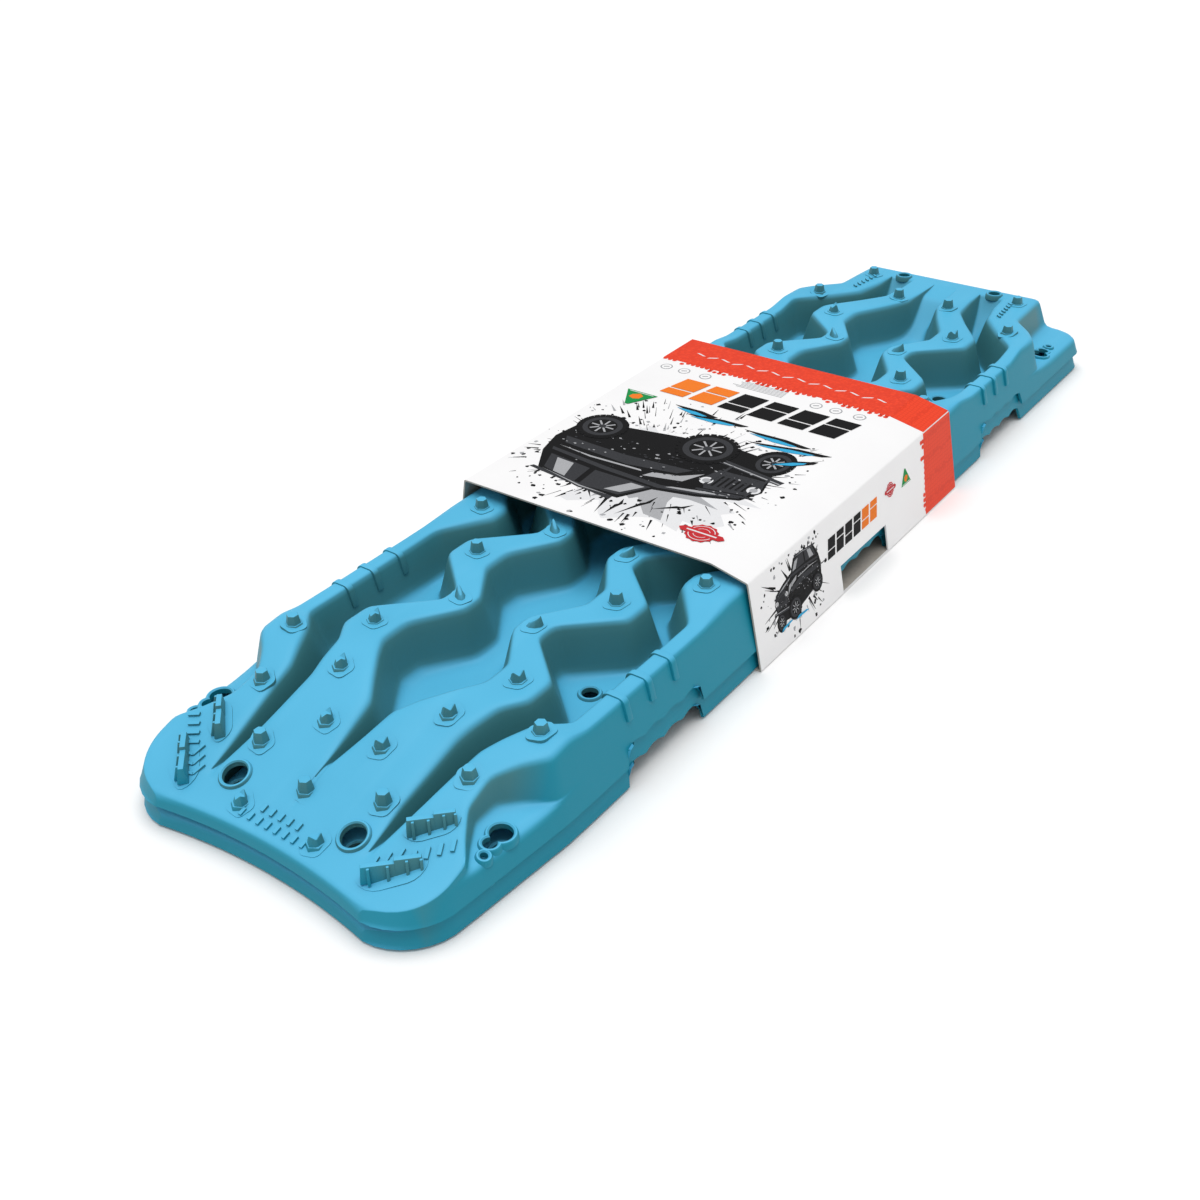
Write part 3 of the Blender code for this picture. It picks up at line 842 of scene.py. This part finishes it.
def cleatPlaces():
    # (kind, x, y, side) of every cleat on one mat
    first, pitch = ribSizes["firstBend"], ribSizes["pitch"]
    places = []
    for side in (-1, 1):
        places += [("plain", x, y, side) for x, y in cleatSizes["plain"]]
        places += [("crown", x, y, side) for x, y in cleatSizes["crown"]]
        for i in range(ribSizes["bends"]):
            kind = "plain" if i in cleatSizes["plainBends"] else "crown"
            places.append((kind, first + i * pitch, cleatSizes["bendAt"], side))
            if i < ribSizes["bends"] - 1:
                places.append(("claw", first + (i + 0.5) * pitch, cleatSizes["clawAt"], side))
    return places + [("plain", *cleatSizes["centre"], 1)]


def addCleats(seatAt):
    pegs, claws, pads, rakes = (bmesh.new() for _ in range(4))
    for kind, x, y, side in cleatPlaces():
        upright, flat = seatAt(x, y * side, False), seatAt(x, y * side, True)
        turn = side * 0.5
        if kind == "claw":
            claw(claws, upright, side * 0.9)
        else:
            tall = cleatSizes["railTall"] if y > 0.09 else cleatSizes["tall"]
            peg(pegs, upright, tall, turn, kind == "crown")
        shield(pads, flat, turn + 0.4, cleatSizes["pad"] * (0.92 if kind == "claw" else 1))
    for x, y, length in rakeSizes["places"]:
        for side in (-1, 1):
            turn = side * math.radians(45)
            rake(rakes, seatAt(x, y * side, False), turn, length, -side)
            shield(pads, seatAt(x, y * side, True), turn, length * 0.62, 0.55)
    bevelled(pegs, 0.0005)
    bevelled(claws, 0.0006)
    bevelled(rakes, 0.0005)
    return {"Pegs": pegs, "Claws": claws, "CleatPads": pads, "Rakes": rakes}


markSizes = {
    "tall": 0.0020,
    "lipBar": (0.0062, 0.00288),  # length and width
    "lipRows": ((5, -0.5475), (8, -0.5570)),  # how many bars, and where along the mat
    "lipPitch": 0.0088,
    "rampFrom": (-0.549, 0.092),
    "rampTo": (-0.511, 0.131),
    "rampMarks": 7,
    "chevrons": 3,  # how many of the ramp's marks are chevrons; the rest are bars
    "chevronArm": (0.0110, 0.0021, 0.0044, 0.95),  # length, width, place off the middle and turn
    "rampBar": (0.0095, 0.0030, 1.25),  # length, width and turn
    "farFrom": (0.488, 0.091),
    "farStep": (0.0085, -0.0008),
    "farMarks": 6,
    "farBar": (0.0062, 0.0022, 0.9),
}


def bar(bm, seat, length, wide, turn=0.0):
    tall = markSizes["tall"]
    verts = block(bm, lambda x, y, high: (x * length, y * wide, tall if high else -tall))
    moved(bm, verts, seat @ Matrix.Rotation(turn, 4, "Z"))


def surfaceMarks(seatAt):
    # plain chevrons, bars and dashes moulded on the ramp end and beside the far rails
    bm = bmesh.new()
    (x0, y0), (x1, y1) = markSizes["rampFrom"], markSizes["rampTo"]
    (farX, farY), (stepX, stepY) = markSizes["farFrom"], markSizes["farStep"]
    length, wide, off, splay = markSizes["chevronArm"]
    for side in (-1, 1):
        turn = math.atan2((y1 - y0) * side, x1 - x0)
        for i in range(markSizes["rampMarks"]):
            t = i / (markSizes["rampMarks"] - 1)
            seat = seatAt(x0 + (x1 - x0) * t, (y0 + (y1 - y0) * t) * side, True)
            seat = seat @ Matrix.Rotation(turn, 4, "Z")
            if i < markSizes["chevrons"]:
                for arm in (-1, 1):
                    bar(bm, seat @ Matrix.Translation((0, arm * off, 0)), length, wide, arm * splay)
            else:
                bar(bm, seat, *markSizes["rampBar"])
        for i in range(markSizes["farMarks"]):
            bar(bm, seatAt(farX + i * stepX, (farY + i * stepY) * side, True), *markSizes["farBar"])
    for count, x in markSizes["lipRows"]:
        for i in range(count):
            y = (i - (count - 1) / 2) * markSizes["lipPitch"]
            bar(bm, seatAt(x, y, True), *markSizes["lipBar"])
    return bm


def gripRidges(base):
    # narrow bands that wrap over the handle rails
    bm = bmesh.new()
    drop, proud, wide = gripSizes["ridge"]
    lean = matSizes["draft"]
    for x in gripSizes["ridges"]:
        section = halfSection(x)
        edge, inner = Vector(section[3]), Vector(section[4])
        outline = [
            (edge.y + proud + drop * lean, edge.z - drop), (edge.y + proud, edge.z + proud * 0.6),
            (inner.y - proud, inner.z + proud * 0.6), (inner.y - proud - drop * lean, inner.z - drop),
        ]
        for side in (-1, 1):
            verts = [bm.verts.new((x - wide / 2, y * side, z + base)) for y, z in outline]
            edges = [bm.edges.new((verts[i], verts[i + 1])) for i in range(3)]
            soft = bmesh.ops.bevel(
                bm, geom=verts[1:3], offset=0.005, affect="VERTICES", segments=4, profile=0.5, material=-1
            )
            line = [e for v in verts + soft["verts"] if v.is_valid for e in v.link_edges]
            line += [e for e in edges if e.is_valid]
            swept(bm, list(dict.fromkeys(line)), (wide, 0, 0))  # each edge once, in a fixed order
    bmesh.ops.recalc_face_normals(bm, faces=bm.faces)
    return bm


def makeMat(name, node):
    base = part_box(node)[0].z
    bm = matSkin(base)
    tree = BVHTree.FromBMesh(bm)

    def seatAt(x, y, tilted):
        # a frame standing on the skin at x, y: upright, or tilted with the surface
        def under(dx, dy):
            return tree.ray_cast(Vector((x + dx, y + dy, base + 0.2)), Vector((0, 0, -1)))[:2]

        spot, normal = under(0, 0)
        for dx, dy in ((0.012, 0), (-0.012, 0), (0, 0.012), (0, -0.012)):
            near, facing = under(dx, dy)
            if near is not None and abs(near.z - spot.z) < 0.008 and facing.z > 0.85:
                normal = normal + facing
        up = normal.normalized() if tilted and normal.normalized().z > 0.8 else Vector((0, 0, 1))
        return Matrix.Translation(spot) @ Vector((0, 0, 1)).rotation_difference(up).to_matrix().to_4x4()

    skin = newObject(name, bm, [nylon])
    wall = skin.modifiers.new("wall", "SOLIDIFY")
    wall.thickness = matSizes["wall"]
    wall.offset = -1
    wall.use_even_offset = False
    cutAway(skin, holeCutters(base), 50)
    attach(skin, node)
    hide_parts(node)
    details = addCleats(seatAt)
    details["HoleRims"] = holeRims(seatAt)
    details["Marks"] = surfaceMarks(seatAt)
    for label, made in details.items():
        smoothed(newObject(name + label, made, [nylon], node), 30)
    ridges = newObject(name + "GripRidges", gripRidges(base), [nylon])
    thick = ridges.modifiers.new("thick", "SOLIDIFY")
    thick.thickness = gripSizes["ridgeThick"]
    thick.offset = -1
    soft = ridges.modifiers.new("soft", "BEVEL")
    soft.width = gripSizes["ridgeSoft"]
    soft.segments = 2
    applied(ridges, 30)
    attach(ridges, node)
    print(name, "made with", len(skin.data.polygons), "faces")


makeMat("lowerMatSkin", "lower_mat")
makeMat("upperMatSkin", "upper_mat")


sleeveLow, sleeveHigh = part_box("sleeve")
sleeveSizes = {
    "board": 0.0016,
    "halfBase": 0.168,
    "topLeft": 0.151,
    "topRight": -0.116,
    "shoulder": (-0.152, 0.008),  # the lower fold of the sloped shoulder, and how far it is below the top
    "fold": 0.0016,
    "window": (-0.0180, 0.0710, 0.028),  # from, to, and height above the sleeve's own foot
    "windowCut": (-0.165, 0.06),  # middle and depth of the cut through the side wall
}


def sleeveOutline():
    top = sleeveHigh.z
    y, drop = sleeveSizes["shoulder"]
    half, left, right = sleeveSizes["halfBase"], sleeveSizes["topLeft"], sleeveSizes["topRight"]
    return [(-half, 0), (half, 0), (left, top), (right, top), (y, top - drop)]


def makeSleeve():
    bm = bmesh.new()
    ringVerts = [bm.verts.new((sleeveLow.x, y, z)) for y, z in sleeveOutline()]
    for i in range(5):
        bm.edges.new((ringVerts[i - 1], ringVerts[i]))
    bmesh.ops.bevel(
        bm, geom=bm.verts[:], offset=sleeveSizes["fold"], affect="VERTICES", segments=3, profile=0.5,
        material=-1,
    )
    swept(bm, bm.edges[:], (sleeveHigh.x - sleeveLow.x, 0, 0))
    bmesh.ops.recalc_face_normals(bm, faces=bm.faces)
    if min(bm.faces, key=lambda face: face.calc_center_median().z).normal.z > 0:
        bmesh.ops.reverse_faces(bm, faces=bm.faces)
    sleeve = newObject("sleeveBoard", bm, [boardWhite, boardGrey])
    wall = sleeve.modifiers.new("board", "SOLIDIFY")
    wall.thickness = sleeveSizes["board"]
    wall.offset = -1
    wall.use_even_offset = True
    wall.material_offset = 1
    wall.material_offset_rim = 1
    start, finish, tall = sleeveSizes["window"]
    low = sleeveSizes["board"]
    middle, deep = sleeveSizes["windowCut"]
    hole = bmesh.new()
    block(hole, lambda x, y, high: (start if x < 0 else finish, middle + y * deep, tall if high else low))
    cutAway(sleeve, hole, 25)
    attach(sleeve, "sleeve")
    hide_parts("sleeve")


makeSleeve()
print("sleeve made")


def topPanel(p, q, lift):
    # the picture on the top panel is upright for someone at the far end: across is +Y, up is -X
    return Vector((-q / 1000, p / 1000, sleeveHigh.z + lift))


def sidePanel(p, q, lift):
    # on the -Y side panel across is +X, and up runs up the leaning board
    y, drop = sleeveSizes["shoulder"]
    foot = Vector((0, -sleeveSizes["halfBase"], 0))
    up = (Vector((0, y, sleeveHigh.z - drop)) - foot).normalized()
    out = Vector((0, -up.z, up.y))
    return foot + Vector((p / 1000, 0, 0)) + up * (q / 1000) + out * lift


def shoulderPanel(p, q, lift):
    # the narrow slope between the two, with q measured down from its upper fold
    y, drop = sleeveSizes["shoulder"]
    fold = Vector((0, sleeveSizes["topRight"], sleeveHigh.z))
    down = (Vector((0, y, sleeveHigh.z - drop)) - fold).normalized()
    out = Vector((0, down.z, -down.y))
    return fold + Vector((p / 1000, 0, 0)) + down * (q / 1000) + out * lift


filmSizes = {"layer": 0.00007, "sunk": 0.0002}
films = {}


def film(ink, outline, panel, layer=1, at=(0, 0), scale=1.0, turn=0.0):
    # one flat shape of ink, closed on all sides, on the given layer above the board
    if ink.name not in films:
        films[ink.name] = bmesh.new()
    bm = films[ink.name]
    c, s = math.cos(turn) * scale, math.sin(turn) * scale
    spots = [(at[0] + p * c - q * s, at[1] + p * s + q * c) for p, q in outline]
    face = bm.faces.new([bm.verts.new(panel(p, q, filmSizes["layer"] * layer)) for p, q in spots])
    face.normal_update()
    out = (panel(0, 0, 1) - panel(0, 0, 0)).normalized()
    if face.normal.dot(out) < 0:
        face.normal_flip()
    swept(bm, [face], out * -filmSizes["sunk"])


def onDrawing(at, p, q, scale):
    # a place p, q in a drawing that stands at this spot and scale
    return at[0] + p * scale, at[1] + q * scale


def disc(radius, count=20, squash=1.0):
    return [
        (radius * math.cos(2 * math.pi * i / count), radius * squash * math.sin(2 * math.pi * i / count))
        for i in range(count)
    ]


def box(p0, q0, p1, q1):
    return [(p0, q0), (p1, q0), (p1, q1), (p0, q1)]


def slanted(p0, q0, p1, q1, lean):
    return [(p0, q0), (p1, q0), (p1 + lean, q1), (p0 + lean, q1)]


random.seed(4)


def blot(radius, spikes, ragged, squash=1.0):
    outline = []
    for i in range(spikes):
        reach = radius * random.uniform(1 - ragged, 1 + ragged)
        angle = 2 * math.pi * (i + random.uniform(-0.3, 0.3)) / spikes
        outline.append((reach * math.cos(angle), reach * squash * math.sin(angle)))
    return outline


def wheel(panel, at, scale, radius, squash, layer):
    # a knobbly tyre seen a little from the side, with its rim and spokes
    for i in range(26):
        angle = 2 * math.pi * i / 26
        spot = onDrawing(at, radius * math.cos(angle), radius * squash * math.sin(angle), scale)
        film(inkBlack, box(-1.9, -2.2, 1.9, 2.2), panel, layer, spot, scale, angle)
    film(inkBlack, disc(radius, 32, squash), panel, layer + 0.5, at, scale)
    film(inkCharcoal, disc(radius * 0.84, 32, squash), panel, layer + 1, at, scale)
    film(inkBlack, disc(radius * 0.62, 28, squash), panel, layer + 1.5, at, scale)
    for i in range(8):
        angle = 2 * math.pi * i / 8
        reach = radius * 0.34
        spot = onDrawing(at, reach * math.cos(angle), reach * squash * math.sin(angle), scale)
        film(inkGrey, box(-radius * 0.2, -0.8, radius * 0.2, 0.8), panel, layer + 2, spot, scale, angle)
    film(inkCharcoal, disc(radius * 0.16, 12, squash), panel, layer + 2.5, at, scale)


carSizes = {
    "lamps": ((-71, 4), (-34, 9)),
    "wheels": ((-8, -34, 23, 1.0, 3), (82, -22, 19, 1.0, 3), (-62, -40, 15, 1.25, -0.8)),
    "grit": 150,
}


def offRoader(panel, at, scale, layer):
    # a plain boxy off-road car of no make, three-quarter view, facing left
    def put(ink, outline, up=0.0):
        film(ink, outline, panel, layer + up, at, scale)

    put(inkBlack, [
        (-72, -20), (-66, -42), (-30, -46), (20, -40), (70, -30), (100, -18), (104, 10), (98, 34), (84, 58),
        (40, 68), (6, 66), (-8, 42), (-40, 34), (-70, 22), (-78, 4),
    ])
    put(inkCharcoal, [(-6, 40), (8, 62), (42, 64), (44, 40)], 1)
    put(inkGrey, [(-2, 42), (9, 58), (22, 60), (10, 42)], 1.6)
    put(inkCharcoal, [(49, 40), (47, 64), (80, 56), (88, 36)], 1)
    put(inkGrey, [(64, 40), (58, 60), (70, 58), (80, 39)], 1.6)
    put(inkCharcoal, [
        (-68, 20), (-38, 31), (-10, 38), (40, 36), (92, 30), (94, 26), (40, 31), (-10, 33), (-40, 26),
        (-68, 15),
    ], 1)
    put(inkGrey, [(-60, 21), (-40, 28), (-14, 34), (-18, 31), (-42, 24)], 1.6)
    put(inkCharcoal, [(-76, 2), (-68, 14), (-38, 20), (-30, 4), (-34, -10), (-72, -12)], 1)
    for i in range(6):
        put(inkBlack, slanted(-66 + i * 4.6, -3, -64 + i * 4.6, 10 + i * 0.8, 0.6), 1.6)
    for p, q in carSizes["lamps"]:
        film(inkPale, disc(5.2, 20), panel, layer + 2, onDrawing(at, p, q, scale), scale)
        film(inkGrey, disc(3.1, 16), panel, layer + 2.5, onDrawing(at, p, q, scale), scale)
    put(inkCharcoal, [(-84, -18), (-28, -26), (-26, -20), (-82, -12)], 1.8)
    put(inkGrey, [(-82, -14.5), (-30, -22), (-30, -21), (-82, -13.2)], 2.2)
    for p in (-74, -40):
        put(inkCharcoal, slanted(p, -20, p + 2.4, 16, 3), 2.4)
    put(inkCharcoal, [(-77, 14), (-34, 22), (-34, 24.5), (-77, 16.5)], 2.4)
    put(inkCharcoal, [(10, 66), (88, 58), (90, 61), (10, 71)], 1.4)
    for i in range(5):
        p, q = 14 + i * 16, 66 - i * 1.6
        put(inkBlack, slanted(p, q, p + 2, q + 7, 1), 1.2)
    put(inkGrey, [(-28, 2), (-20, 20), (10, 28), (6, 20), (-14, 14)], 1.7)
    put(inkCharcoal, [(-18, 2), (-10, 12), (30, 20), (90, 16), (96, 6), (40, 8), (0, 4)], 1.7)
    put(inkGrey, [(14, 23), (60, 25), (92, 21), (60, 23), (16, 21)], 1.9)
    put(inkGrey, [(14, 66), (40, 66.5), (80, 58), (40, 65)], 1.9)
    for _ in range(carSizes["grit"]):  # mud and grit on the paint
        spot = (random.uniform(-66, 96), random.triangular(-18, 40, -12))
        ink = inkGrey if random.random() < 0.35 else inkCharcoal
        fleck = blot(random.uniform(0.4, 1.5), 7, 0.4, 0.7)
        film(ink, fleck, panel, layer + 2.6, onDrawing(at, *spot, scale), scale)
    for p, q, radius, squash, up in carSizes["wheels"]:
        wheel(panel, onDrawing(at, p, q, scale), scale, radius, squash, layer + up)


def ray(length, thick):
    return [(-length / 2, -thick), (length / 2, -0.1), (length / 2, 0.1), (-length / 2, thick)]


def crack(length):
    return [
        (-length / 2, -2.4), (-length * 0.2, -0.6), (-length * 0.1, -2.6), (length / 2, 0), (0, 1.4),
        (-length * 0.25, 3.2),
    ]


def brushStroke(length):
    return [
        (-length / 2, -1.6), (-length * 0.1, -3.8), (length / 2, -0.8), (length * 0.3, 1.2),
        (-length * 0.05, 3.8), (-length * 0.4, 1.8),
    ]


def thinStroke(length):
    return [(-length / 2, -1), (length / 2, -0.6), (length * 0.3, 1.0), (-length * 0.3, 1.4)]


def splash(panel, at, scale, count, spread, layer, limits):
    # rays and drops of ink thrown outwards; limits keep them on the panel
    low, high = limits
    for _ in range(count):
        angle = random.uniform(0, 2 * math.pi)
        reach = random.uniform(0.55, 1.0) * spread
        spot = onDrawing(at, reach * 1.15 * math.cos(angle), reach * 0.85 * math.sin(angle), scale)
        kind = random.random()
        length = random.uniform(6, 22) if kind < 0.45 else 0
        margin = length * 0.6 * scale + 2
        if not all(a + margin < b < c - margin for a, b, c in zip(low, spot, high)):
            continue
        ink = inkBlack if random.random() < 0.75 else inkGrey
        if kind < 0.45:
            film(ink, ray(length, random.uniform(0.3, 1.5)), panel, layer, spot, scale, angle)
        else:
            film(ink, blot(random.uniform(0.5, 2.4), 8, 0.35), panel, layer, spot, scale)


def seal(panel, at, scale, layer):
    # a scalloped edge of 24 points, then rings, and a plain ribbon across
    film(inkRed, [disc(13.5 if i % 2 else 15, 24)[i] for i in range(24)], panel, layer, at, scale)
    film(inkPale, disc(12, 28), panel, layer + 0.6, at, scale)
    film(inkRed, disc(11.2, 28), panel, layer + 1.2, at, scale)
    film(inkPale, disc(7.6, 24), panel, layer + 1.8, at, scale)
    film(inkRed, disc(7.0, 24), panel, layer + 2.4, at, scale)
    film(inkRed, [(-19, -4), (19, -4), (23, 0), (19, 4), (-19, 4), (-23, 0)], panel, layer + 3, at, scale)
    film(inkPale, box(-15, -0.9, 15, 0.9), panel, layer + 3.6, at, scale)


def badge(panel, at, scale, layer):
    film(inkGreen, [(-19, -12), (19, -12), (2, 19), (-2, 19)], panel, layer, at, scale)
    film(inkOrange, [(-6, -4), (0, -8), (7, -3), (8, 3), (1, 6), (-5, 3)], panel, layer + 0.6, at, scale)
    film(inkPale, box(-15, -10.6, 15, -9.4), panel, layer + 0.6, at, scale)


def wordBars(panel, at, scale, layer):
    # a row of plain leaning blocks, each slit once: four dark, two in the accent colour
    wide, tall, lean, slit = 21, 30, 0.22, 2.0
    for i in range(6):
        p = i * 26
        ink = inkBlack if i < 4 else inkOrange
        cut = tall * (0.62 if i % 2 else 0.38)
        film(ink, slanted(p, 0, p + wide, cut, cut * lean), panel, layer, at, scale)
        start = p + (cut + slit) * lean
        upper = slanted(start, cut + slit, start + wide, tall, (tall - cut - slit) * lean)
        film(ink, upper, panel, layer, at, scale)


def hexagon(radius):
    return [(radius * math.cos(math.pi * i / 3), radius * math.sin(math.pi * i / 3)) for i in range(6)]


topPrintSizes = {  # millimetres on the panel; places are across and up
    "car": ((6, 34), 1.24),
    "seal": ((-84, 128), 1.0),
    "badge": ((118, -66), 0.95),
    "words": ((-102, -130), 1.32),
    "splash": ((10, 40), 420, 150),  # middle, count and spread
    "splashFoot": -150,
    "cracks": (  # across, up, length and turn
        (-10, 118, 54, 1.2), (20, 122, 60, 1.75), (48, 112, 50, 2.3), (-38, 104, 44, 0.7), (6, 130, 36, 1.5),
    ),
    "strokes": (
        (-66, -44, 74, 0.16), (-46, -56, 66, -0.04), (24, -60, 60, 0.1), (52, -66, 46, -0.08),
        (-84, -22, 40, 0.6),
    ),
    "rounds": (134, 112, 86, -44, -66, -92),
    "roundsAt": -145,
    "bandFrom": 163.5,
    "flourishAt": -189,
}


def topPrint():
    low, high = sleeveSizes["topRight"] * 1000 + 0.05, sleeveSizes["topLeft"] * 1000 - 0.7
    near, far = -sleeveLow.x * 1000, -sleeveHigh.x * 1000
    film(inkPale, blot(96, 46, 0.28, 0.8), topPanel, 0.4, (8, 60))
    film(inkGrey, blot(74, 38, 0.34, 0.8), topPanel, 0.8, (12, 62))
    middle, count, spread = topPrintSizes["splash"]
    splash(topPanel, middle, 1.0, count, spread, 1, ((low, topPrintSizes["splashFoot"]), (high, near)))
    for p, q, length, turn in topPrintSizes["cracks"]:
        # long jagged cracks that run out from the picture
        film(inkBlack, crack(length), topPanel, 1.3, (p, q), 0.9, turn)
    offRoader(topPanel, *topPrintSizes["car"], 2)
    for i, (p, q, length, turn) in enumerate(topPrintSizes["strokes"]):
        # brush strokes beside the wheels: black first, blue over it
        film(inkBlack, brushStroke(length), topPanel, 6, (p - 3, q - 3.5), 1.12, turn)
        film(inkBlue, brushStroke(length), topPanel, 7 + i * 0.2, (p, q), 0.8, turn)
    seal(topPanel, *topPrintSizes["seal"], 9)
    badge(topPanel, *topPrintSizes["badge"], 9)
    wordBars(topPanel, *topPrintSizes["words"], 8)
    for p in topPrintSizes["rounds"]:
        spot = (p, topPrintSizes["roundsAt"])
        film(inkGrey, disc(6.6, 24), topPanel, 1, spot)
        film(boardWhite, disc(5.2, 24), topPanel, 1.8, spot)
        film(inkGrey, box(-3.0, -1, 3.0, 1), topPanel, 2.6, spot, 1.0, 0.5)
    for i in range(6):
        wide = random.uniform(46, 60)
        film(inkGrey, box(-20, -0.6, -20 + wide, 0.6), topPanel, 1, (14, -143 - i * 2.7))
    start = topPrintSizes["bandFrom"]
    film(inkBand, [(low, -start), (high, -start), (high, far + 0.02), (low, far + 0.02)], topPanel, 3)
    for i in range(46):
        p = low + 3 + (high - low - 6) * i / 45
        for row, share in enumerate((0.85, 0.4)):
            if random.random() < share:
                film(inkBand, hexagon(2.6), topPanel, 3.4, (p, -start + 1 + row * 3.6))
    for i in range(15):  # a loose pale flourish where words stand on the band
        spot = (118 - i * 15.2, topPrintSizes["flourishAt"])
        film(inkPale, slanted(-5.2, -0.9, 5.2, 0.9, 2.5), topPanel, 4.2, spot, 1.0, 0.5 if i % 2 else -0.35)


sidePrintSizes = {
    "car": ((-96, 44), 0.44),
    "words": ((-38, 44), 0.62),
    "seal": ((86, 58), 0.5),
    "badge": ((118, 56), 0.5),
    "splash": ((-92, 46), 110, 52),
    "splashTo": -30,
    "strokes": ((-116, 20, 20, 0.1), (-90, 18, 22, -0.05)),
    "bandFrom": 152.5,
    "bandLean": 9,  # how much further along the band starts at the top of the panel
}


def sidePrint():
    y, drop = sleeveSizes["shoulder"]
    top = math.hypot(sleeveSizes["halfBase"] + y, sleeveHigh.z - drop) * 1000
    slope = math.hypot(sleeveSizes["topRight"] - y, drop) * 1000 - 0.7
    near, far = sleeveLow.x * 1000, sleeveHigh.x * 1000 - 0.02
    middle, count, spread = sidePrintSizes["splash"]
    limits = ((near, 2), (sidePrintSizes["splashTo"], top - 2))
    splash(sidePanel, middle, 1.0, count, spread, 1, limits)
    offRoader(sidePanel, *sidePrintSizes["car"], 2)
    for p, q, length, turn in sidePrintSizes["strokes"]:
        film(inkBlue, thinStroke(length), sidePanel, 7, (p, q), 1.0, turn)
    wordBars(sidePanel, *sidePrintSizes["words"], 4)
    seal(sidePanel, *sidePrintSizes["seal"], 4)
    badge(sidePanel, *sidePrintSizes["badge"], 4)
    start, lean = sidePrintSizes["bandFrom"], sidePrintSizes["bandLean"]
    film(inkBand, [(start, 1.8), (far, 1.8), (far, top - 0.7), (start + lean, top - 0.7)], sidePanel, 3)
    edge = start + lean
    film(inkBand, [(edge + 1, 0.05), (far, 0.05), (far, slope), (edge + 2, slope)], shoulderPanel, 3)
    for i in range(14):
        for row in range(3):
            if random.random() < (0.85, 0.5, 0.2)[row]:
                t = (i + 0.5) / 14
                spot = (start + lean * t + 1 - row * 3.4, 4 + t * (top - 9))
                film(inkBand, hexagon(2.3), sidePanel, 3.4, spot)


topPrint()
sidePrint()
for inkName, shapes in films.items():
    bmesh.ops.recalc_face_normals(shapes, faces=shapes.faces)
    newObject(inkName + "Print", shapes, [bpy.data.materials[inkName]], "sleeve")
print("print made")


stageSettings = {
    "floor": "#FFFFFF",
    "world": 0.50,
    "sun": 1.90,
    "sunFrom": (0.04, 0.06, 1.0),
    "softness": 60,  # degrees
}


def makeStage():
    bm = bmesh.new()
    bmesh.ops.create_grid(bm, x_segments=1, y_segments=1, size=20)
    tone = linear(stageSettings["floor"])
    paper = newMaterial("paleFloor", {"Roughness": 0.9, "Base Color": tone})[0]
    floor = newObject("studioFloor", bm, [paper])
    floor.location.z = -0.0004
    world = bpy.data.worlds.new("studioWorld")
    world.use_nodes = True
    back = world.node_tree.nodes["Background"]
    back.inputs["Color"].default_value = (1, 1, 1, 1)
    back.inputs["Strength"].default_value = stageSettings["world"]
    scene.world = world
    data = bpy.data.lights.new("overheadSoftLight", "SUN")
    data.energy = stageSettings["sun"]
    data.angle = math.radians(stageSettings["softness"])
    light = bpy.data.objects.new("overheadSoftLight", data)
    light.rotation_mode = "QUATERNION"
    light.rotation_quaternion = (-Vector(stageSettings["sunFrom"])).to_track_quat("-Z", "Y")
    scene.collection.objects.link(light)


makeStage()
scene.view_settings.view_transform = "Standard"
print("stage made")
